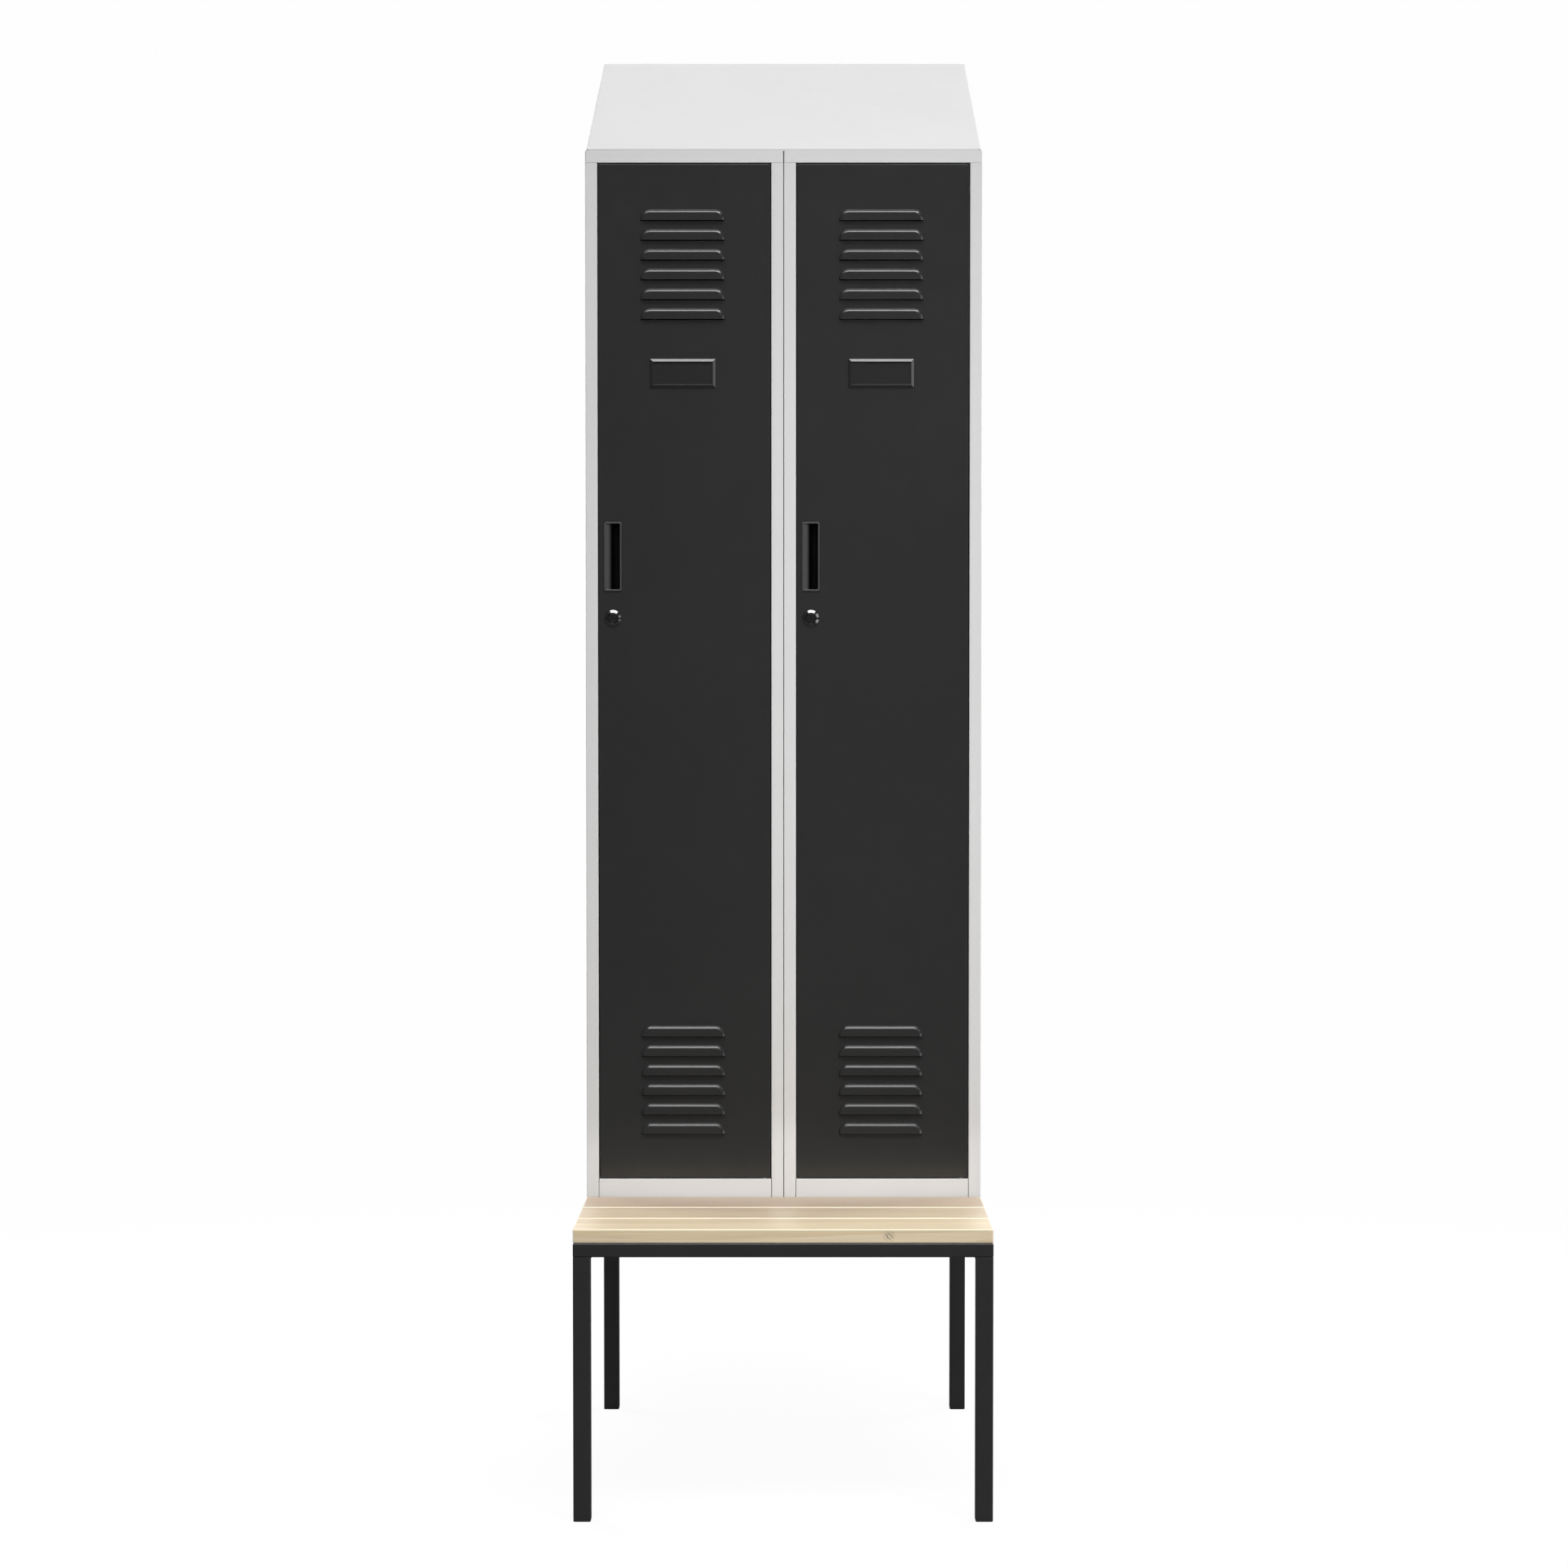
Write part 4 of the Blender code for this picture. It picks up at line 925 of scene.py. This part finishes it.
def build_door(s, side, hood):
    low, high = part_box(f"{side}_door")
    back = high.y
    face = back - s.door_depth
    corner, bend = s.door_corner, s.bend
    work = bmesh.new()

    def round_loop(inset, y):
        return ring(work, framed(low, high, inset, max(corner - inset, corner / 20)), y)

    quarter = quarter_turn(FOLD_STEPS)
    front_roll = [(bend * (1 - math.sin(a)), face + bend * (1 - math.cos(a))) for a in quarter]
    rear_roll = [(bend * (1 - math.cos(a)), back - bend * (1 - math.sin(a))) for a in quarter]
    profile = ((bend + s.collar, face), *front_roll, *rear_roll, (s.door_return, back))
    rings = [round_loop(*at) for at in profile]
    wall = len(front_roll)
    bottom_edge, top_edge = FOLD_STEPS, 3 * FOLD_STEPS + 2
    bridge(work, rings, skip={(wall, bottom_edge), (wall, top_edge)})
    for edge, pin, z in ((bottom_edge, "lower", low.z), (top_edge, "upper", high.z)):
        pin_low, pin_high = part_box(f"{side}_hinge_pin_{pin}")
        x, y, _ = middle_of(pin_low, pin_high)
        radius = s.pin_radius + s.pin_clearance
        hole = [work.verts.new((*at, z)) for at in circle(x, y, radius, PIN_SIDES)]
        near, far = rings[wall], rings[wall + 1]
        fill(work, [[near[edge], near[edge + 1], far[edge + 1], far[edge]], hole])

    holes = []
    middle = (low.x + high.x) / 2 + s.louvre_shift
    upper = high.z - s.louvre_from_top - s.louvre_height
    lower = low.z + s.louvre_from_bottom + (s.louvre_rows - 1) * s.louvre_pitch
    rim = hood_outline(s, -s.louvre_foot - s.collar)
    half, drop = s.louvre_width / 2 + s.louvre_foot, s.louvre_slot
    opening = ((half, 0.0), (half, -drop), (-half, -drop), (-half, 0.0))
    for start in (upper, lower):
        for k in range(s.louvre_rows):
            base = start - k * s.louvre_pitch
            around, slot = [
                ring(work, [(middle + x, base + z) for x, z in outline], face)
                for outline in (rim, opening)
            ]
            ends = (half + s.collar, -half - s.collar)
            below = ring(work, [(middle + x, base - drop - s.collar) for x in ends], face)
            work.faces.new((around[-1], slot[0], slot[1], below[0]))
            work.faces.new((slot[1], slot[2], below[1], below[0]))
            work.faces.new((slot[2], slot[3], around[0], below[1]))
            holes.append([*around, *below])
    cup_low, cup_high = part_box(f"{side}_handle_cup")

    def cup_hole(out):
        return framed(cup_low, cup_high, s.cup_edge - out, s.cup_corner + out)

    lock_low, lock_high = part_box(f"{side}_lock_housing")
    x, _, z = middle_of(lock_low, lock_high)
    radius = (lock_high.x - lock_low.x) / 2 - s.barrel_edge

    def lock_hole(out):
        return circle(x, z, radius + out, BARREL_SIDES)

    holes += [collared(work, hole, s.collar, face) for hole in (cup_hole, lock_hole)]
    fill(work, [rings[0], *holes])

    louvres = new_piece(f"{side}_louvres")
    run_tree(louvres, repeat_tree(), {
        "Hood": hood, "Rows": s.louvre_rows, "Step": (0.0, 0.0, -s.louvre_pitch),
        "Upper start": (middle, face, upper), "Lower start": (middle, face, lower),
        "Finish": finish("door_black")
    })
    settle(louvres)
    work.from_mesh(louvres.data)
    bpy.data.objects.remove(louvres)
    bmesh.ops.remove_doubles(work, verts=work.verts, dist=JOIN)
    bmesh.ops.recalc_face_normals(work, faces=work.faces)
    front = max(work.faces, key=lambda f: f.calc_area())
    if front.normal.y > 0:
        bmesh.ops.reverse_faces(work, faces=work.faces)
    piece = new_piece(f"{side}_door_finished", work)
    wall = piece.modifiers.new("Sheet thickness", "SOLIDIFY")
    wall.thickness = s.sheet
    wall.offset = -1
    wall.use_even_offset = True
    flatten(piece)
    hand_over(piece, "door_black", f"{side}_door", f"{side}_door")


class LOCKER_OT_doors(bpy.types.Operator):
    """Build the two louvred door sheets"""

    bl_idname = "locker.doors"
    bl_label = "Doors"

    def execute(self, context):
        s = sizes()
        hood = hood_mesh(s)
        for side in SIDES:
            build_door(s, side, hood)
            dress(f"{side}_door_stiffener", "door_black")
        bpy.data.objects.remove(hood)
        return {"FINISHED"}


class LOCKER_OT_labels(bpy.types.Operator):
    """Build the label frames"""

    bl_idname = "locker.labels"
    bl_label = "Label frames"

    def execute(self, context):
        s = sizes()
        for side in SIDES:
            low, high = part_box(f"{side}_label_frame")
            slope, corner = s.label_slope, 0.0003
            field = low.y + s.label_recess
            foot = high.y - s.label_edge
            profile = (
                (0, high.y),
                (0, foot + 0.0001),
                (0.00007, foot - 0.00003),
                (0.00022, foot - 0.00013),
                (slope - 0.0001, low.y + 0.00006),
                (slope, low.y + 0.00001),
                (slope + 0.0002, low.y),
                (slope + 0.00036, low.y + 0.00002),
                (slope + 0.0004, low.y + 0.00008),
                (slope + 0.0004, field - 0.0003),
                (slope + 0.0005, field - 0.0001),
                (slope + 0.0008, field),
                (slope + 0.0016, field),
            )
            work = bmesh.new()
            rings = [ring(work, framed(low, high, inset, corner, 2), y) for inset, y in profile]
            bridge(work, rings)
            work.faces.new(rings[0])
            work.faces.new(rings[-1])
            stand_in(work, f"{side}_label_frame", "label_black", f"{side}_door")
        return {"FINISHED"}


class LOCKER_OT_handles(bpy.types.Operator):
    """Build the handle cups"""

    bl_idname = "locker.handles"
    bl_label = "Handle cups"

    def execute(self, context):
        s = sizes()
        flange, wall, roll = s.cup_flange, s.cup_wall, s.cup_flange_height / 2
        outer = s.cup_corner + wall
        steepest = math.radians(75)
        bow = s.cup_ramp / math.sin(steepest)
        turns = [steepest * k / RAMP_STEPS for k in range(RAMP_STEPS + 1)]
        stations = [(bow * math.sin(a), bow * (1 - math.cos(a))) for a in turns]
        stations.append((s.cup_ramp, s.cup_depth))
        quarter = quarter_turn(3)
        for side in SIDES:
            low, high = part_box(f"{side}_handle_cup")
            front = low.y
            face = front + s.cup_flange_height
            work = bmesh.new()

            def loop(around, y, radius, more=0):
                start = (low.x + around + more, low.z + around)
                end = (high.x - around, high.z - around)
                return ring(work, rounded(start, end, radius), y)

            shell, scoop = [], []
            for reach, depth in stations:
                draft = flange + s.cup_draft * depth / s.cup_depth
                more = flange + reach - draft
                scoop.append(loop(draft, face + depth, s.cup_corner, more))
                shell.append(loop(draft - wall, face + depth + wall, outer, more))
            rings = [*reversed(shell), loop(flange - wall, face, outer), loop(0, face, outer)]
            for a in quarter:
                inset = roll * (1 - math.cos(a))
                rings.append(loop(inset, front + roll * (1 - math.sin(a)), outer))
            for a in quarter:
                inset = flange - roll * (1 - math.sin(a))
                rings.append(loop(inset, front + roll * (1 - math.cos(a)), s.cup_corner))
            rings += scoop
            bridge(work, rings)
            work.faces.new(rings[0])
            work.faces.new(rings[-1])
            stand_in(work, f"{side}_handle_cup", "handle_plastic", f"{side}_door")
        return {"FINISHED"}


class LOCKER_OT_locks(bpy.types.Operator):
    """Build the cam locks: housing, nut, plug and cam"""

    bl_idname = "locker.locks"
    bl_label = "Cam locks"

    def execute(self, context):
        s = sizes()
        for side in SIDES:
            low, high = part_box(f"{side}_lock_housing")
            plug_low, plug_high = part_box(f"{side}_lock_plug")
            rim = (high.x - low.x) / 2
            barrel = rim - s.barrel_edge - s.barrel_gap
            bore = (plug_high.x - plug_low.x) / 2 + s.bore_gap
            crown = bore + s.bezel_land
            sheet = low.y + s.bezel_height
            edge = sheet - s.bezel_edge
            soft = s.edge_round
            outline = [
                (barrel, high.y),
                *eased((barrel, sheet), (rim, sheet), (rim, edge), soft / 3),
                *eased((rim, sheet), (rim, edge), (crown, low.y), soft),
                *eased((rim, edge), (crown, low.y), (bore, low.y), soft / 2),
                *eased((crown, low.y), (bore, low.y), (bore, high.y), soft / 3),
                (bore, high.y),
            ]
            work = bmesh.new()
            x, _, z = middle_of(low, high)
            rings = [ring(work, circle(x, z, r, BEZEL_SIDES), y) for r, y in outline]
            bridge(work, [*rings, rings[0]])
            stand_in(work, f"{side}_lock_housing", "lock_black", f"{side}_door")
            dress(f"{side}_lock_plug", "lock_black", s.plug_round)
            dress(f"{side}_lock_nut", "zinc_steel", s.cast_round)
            dress(f"{side}_lock_cam", "zinc_steel", s.cast_round)
        return {"FINISHED"}


# Cabinet


class LOCKER_OT_cabinet(bpy.types.Operator):
    """Build the sheet-metal walls, floors, lids and shelves of both modules"""

    bl_idname = "locker.cabinet"
    bl_label = "Cabinet"

    def execute(self, context):
        s = sizes()
        for side in SIDES:
            for wall in WALLS:
                dress(f"{side}_{wall}", "cabinet_grey", s.fold_round)
        return {"FINISHED"}


class LOCKER_OT_roof(bpy.types.Operator):
    """Build the sloping roof"""

    bl_idname = "locker.roof"
    bl_label = "Roof"

    def execute(self, context):
        for node in ("roof_cover", "roof_left_end", "roof_right_end", "roof_back"):
            dress(node, "cabinet_grey")
        s = sizes()
        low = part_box("roof_cover")[0]
        front = low.y + s.roof_hem_set_in
        work = bmesh.new()
        block(work, (low.x + s.roof_hem, front, low.z - s.roof_hem),
              (-low.x - s.roof_hem, low.y + s.roof_hem, low.z + s.roof_hem / 4))
        piece = new_piece("roof_front_hem", work)
        ease(piece, s.edge_round)
        hand_over(piece, "cabinet_grey", ROOT)
        return {"FINISHED"}


def rivet_head(s):
    """A low dome on the point (0, 0, 0), facing +Z."""
    work = bmesh.new()
    rows = []
    for a in quarter_turn(RIVET_STEPS)[:-1]:
        radius, height = s.rivet_radius * math.cos(a), s.rivet_height * math.sin(a)
        rows.append([work.verts.new((*at, height)) for at in circle(0, 0, radius, RIVET_SIDES)])
    bridge(work, rows)
    work.faces.new(rows[-1])
    work.faces.new(reversed(rows[0]))
    bmesh.ops.recalc_face_normals(work, faces=work.faces)
    head = new_piece("rivet_head", work)
    head.data.shade_smooth()
    return head


class LOCKER_OT_fittings(bpy.types.Operator):
    """Build the coat rails, coat hooks, hinge pins and the rivets that hold them"""

    bl_idname = "locker.fittings"
    bl_label = "Fittings"

    def execute(self, context):
        s = sizes()
        cup_thickness, plate_thickness, rivet_reach = 0.003, 0.0025, 0.8
        drops = (0.006, 0.018)
        spots = []
        for side in SIDES:
            for node in FITTINGS:
                dress(f"{side}_{node}", "zinc_steel", s.wire_round)
            low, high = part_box(f"{side}_coat_rail")
            _, y, z = middle_of(low, high)
            reach = (high.z - low.z) / 2 * rivet_reach
            for x, way in ((low.x + cup_thickness, 1), (high.x - cup_thickness, -1)):
                spots += [((x, y, z + reach), way), ((x, y, z - reach), way)]
            for hook, way in (("latch", 1), ("hinge", -1)):
                low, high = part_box(f"{side}_coat_hook_{hook}_side")
                x = low.x + plate_thickness if way > 0 else high.x - plate_thickness
                _, y, _ = middle_of(low, high)
                spots += [((x, y, high.z - drop), way) for drop in drops]
        piece = new_piece("fitting_rivets")
        piece.data.from_pydata([at for at, way in spots], [], [])
        out = piece.data.attributes.new("out", "FLOAT_VECTOR", "POINT")
        for k, (at, way) in enumerate(spots):
            out.data[k].vector = (way, 0, 0)
        head = rivet_head(s)
        run_tree(piece, fastener_tree(), {"Fastener": head, "Finish": finish("zinc_steel")})
        settle(piece)
        bpy.data.objects.remove(head)
        hand_over(piece, "zinc_steel", ROOT)
        return {"FINISHED"}


# Bench


class LOCKER_OT_bench_frame(bpy.types.Operator):
    """Build the welded tube frame and its foot caps"""

    bl_idname = "locker.bench_frame"
    bl_label = "Bench frame"

    def execute(self, context):
        s = sizes()
        for rail in ("front_rail", "rear_rail", "left_side_rail", "right_side_rail", "cross_rail"):
            dress(f"bench_{rail}", "bench_black")
        rail_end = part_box("bench_front_rail")[0]
        weld_gap = rail_end.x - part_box("bench_left_side_rail")[0].x
        middle = (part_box("bench_rear_rail")[1].y + rail_end.y) / 2
        trim, set_in = s.weld_radius * 1.5, s.seam_depth
        seams = bmesh.new()
        points = []
        for end in ("front", "rear"):
            for side in SIDES:
                leg = f"bench_{end}_{side}_leg"
                dress(leg, "bench_black")
                dress(f"bench_{end}_{side}_foot_cap", "foot_plastic", s.cast_round)
                low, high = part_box(leg)
                x = high.x if high.x < 0 else low.x
                y = high.y if high.y < middle else low.y
                points += [(x, low.y + trim, high.z), (x, high.y - trim, high.z)]
                points += [(low.x + trim, y, high.z), (high.x - trim, y, high.z)]
                corners = (low.x + set_in, low.y + set_in), (high.x - set_in, high.y - set_in)
                outline = rounded(*corners, s.tube_corner)
                gap = (high.z - s.weld_radius / 2, rail_end.z)
                plate(seams, [[(x, y, z) for x, y in outline] for z in gap])
        welds = new_piece("bench_welds")
        welds.data.from_pydata(points, [(k, k + 1) for k in range(0, len(points), 2)], [])
        run_tree(welds, weld_tree(), {
            "Radius": s.weld_radius, "Pitch": s.weld_pitch, "Seed": 4,
            "Finish": finish("bench_black")
        })
        settle(welds)
        hand_over(welds, "bench_black", ROOT)
        for side in SIDES:
            low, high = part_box(f"bench_{side}_side_rail")
            outer, inward = (low.x, 1) if side == "left" else (high.x, -1)
            corners = (set_in, low.z + set_in), (high.x - low.x - set_in, high.z - set_in)
            outline = rounded(*corners, s.tube_corner)
            for outer_y, inward_y in ((low.y, 1), (high.y, -1)):
                plate(seams, [
                    [(outer + inward * (a + gap), outer_y + inward_y * a, z) for a, z in outline]
                    for gap in (0, weld_gap)
                ])
        bmesh.ops.recalc_face_normals(seams, faces=seams.faces)
        hand_over(new_piece("bench_ground_seams", seams), "bench_black", ROOT)
        return {"FINISHED"}


class LOCKER_OT_seat(bpy.types.Operator):
    """Build the three wooden slats of the seat"""

    bl_idname = "locker.seat"
    bl_label = "Seat slats"

    def execute(self, context):
        s = sizes()
        nodes = [f"bench_{place}_slat" for place in ("front", "middle", "rear")]
        boxes = [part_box(node) for node in nodes]
        low, high = boxes[0]
        board = high - low
        step = boxes[1][0] - low
        piece = new_piece("bench_slats")
        run_tree(piece, slat_tree(), {
            "Count": len(nodes), "Board": tuple(board), "Start": tuple((low + high) / 2),
            "Step": tuple(step), "Finish": finish("slat_wood")
        })
        settle(piece)
        ease(piece, s.slat_round, segments=4)
        hand_over(piece, "slat_wood", ROOT, *nodes)
        return {"FINISHED"}


# Stage


def add_light(name, kind, at, aim, power, scale=None, **settings):
    """A light that the camera doesn't see, facing its aim. One with a scale leaves no highlight."""
    lamp = bpy.data.lights.new(name, kind)
    lamp.energy = power
    for setting, value in settings.items():
        setattr(lamp, setting, value)
    light = bpy.data.objects.new(name, lamp)
    light.location = at
    light.rotation_euler = (Vector(aim) - light.location).to_track_quat("-Z", "Y").to_euler()
    light.visible_camera = False
    if scale:
        light.scale = scale
        light.visible_glossy = False
    bpy.context.scene.collection.objects.link(light)


class LOCKER_OT_stage(bpy.types.Operator):
    """Set up the floor, the lights, the backdrop and the camera"""

    bl_idname = "locker.stage"
    bl_label = "Stage"

    def execute(self, context):
        scene = bpy.context.scene
        studio = studio_settings()
        scene.view_settings.view_transform = "Standard"

        work = bmesh.new()
        bmesh.ops.create_circle(work, cap_ends=True, segments=FLOOR_SIDES, radius=FLOOR_RADIUS)
        floor = new_piece("floor", work)
        floor.data.materials.append(matt_white_floor())
        scene.world = studio_world()

        chest = (0, 0, 1.15)
        seat = (0, -0.25, 0.43)
        for name, at, aim, power, width, height in (
            ("top_light", (0.2, -0.35, 7.0), chest, studio.top_light, 10.0, 0.28),
            ("high_light", (1.2, -8.45, 16.3), chest, studio.high_light, 15.8, 4.7),
            ("right_upper_light", (1.9, -0.95, 2.15), (0, 0, 2.1), studio.right_light, 0.8, 1.1),
            ("right_lower_light", (1.9, -0.95, 0.45), (0, 0, 0.45), studio.right_light, 0.8, 1.1),
            ("back_light", (0, 5.0, 2.2), (0, 0, 1.4), studio.back_light, 10.0, 5.0),
            ("left_flank_light", (-2.05, 1.65, 1.9), seat, studio.flank_light, 1.0, 1.0),
            ("right_flank_light", (2.05, 1.65, 1.9), seat, studio.flank_light, 1.0, 1.0),
        ):
            add_light(name, "AREA", at, aim, power, shape="RECTANGLE", size=width, size_y=height)
        place, power = (1.0, -4.7, 4.6), studio.front_light
        add_light("front_light", "SUN", place, chest, power, angle=studio.front_width)
        for name, at, aim, power, cone, soft, scale in (
            ("centre_light", (0.6, -5.5, 2.4), (0.11, -0.08, 1.25), studio.centre_light,
             studio.centre_width, 0.4, (1.0, 2.25, 1.0)),
            ("low_light", (0.0, -5.0, 0.72), (0.0, -0.08, 0.465), studio.low_light,
             studio.low_width, 0.02, (7.0, 1.0, 1.0)),
        ):
            spot = {"spot_size": cone, "spot_blend": 1.0, "shadow_soft_size": soft}
            add_light(name, "SPOT", at, aim, power, scale, **spot)

        camera = bpy.data.objects.new("camera", bpy.data.cameras.new("camera"))
        camera.data.sensor_width = 36
        camera.data.lens = studio.lens
        camera.data.shift_x, camera.data.shift_y = studio.shift_x, studio.shift_y
        camera.location = (studio.camera_x, studio.camera_y, studio.camera_z)
        camera.rotation_euler = (math.radians(90) - studio.pitch, 0, 0)
        scene.collection.objects.link(camera)
        scene.camera = camera
        return {"FINISHED"}


OPERATORS = (
    LOCKER_OT_cabinet,
    LOCKER_OT_roof,
    LOCKER_OT_doors,
    LOCKER_OT_labels,
    LOCKER_OT_handles,
    LOCKER_OT_locks,
    LOCKER_OT_fittings,
    LOCKER_OT_bench_frame,
    LOCKER_OT_seat,
    LOCKER_OT_stage,
)


class LOCKER_PT_sidebar(bpy.types.Panel):
    """The locker's sizes, finishes and buttons"""

    bl_idname = "LOCKER_PT_sidebar"
    bl_label = "Locker with Bench"
    bl_space_type = "VIEW_3D"
    bl_region_type = "UI"
    bl_category = "Locker"

    def draw(self, context):
        for operator in OPERATORS:
            self.layout.operator(operator.bl_idname)
        for group in (sizes(), finishes(), studio_settings()):
            box = self.layout.box()
            for name in group.bl_rna.properties.keys():
                if name not in ("rna_type", "name"):
                    box.prop(group, name)


CLASSES = (LockerSizes, LockerFinishes, LockerStudio, *OPERATORS, LOCKER_PT_sidebar)


def register():
    for made in CLASSES:
        bpy.utils.register_class(made)
    bpy.types.Scene.locker_sizes = PointerProperty(type=LockerSizes)
    bpy.types.Scene.locker_finishes = PointerProperty(type=LockerFinishes)
    bpy.types.Scene.locker_studio = PointerProperty(type=LockerStudio)


def unregister():
    del bpy.types.Scene.locker_sizes
    del bpy.types.Scene.locker_finishes
    del bpy.types.Scene.locker_studio
    for made in reversed(CLASSES):
        bpy.utils.unregister_class(made)


def main():
    kept = {*frame["bodies"].values(), *frame["nodes"].values()}
    for extra in [o for o in bpy.data.objects if o not in kept]:
        bpy.data.objects.remove(extra)
    register()
    for operator in OPERATORS:
        group, name = operator.bl_idname.split(".")
        getattr(getattr(bpy.ops, group), name)()


if __name__ == "__main__":
    main()
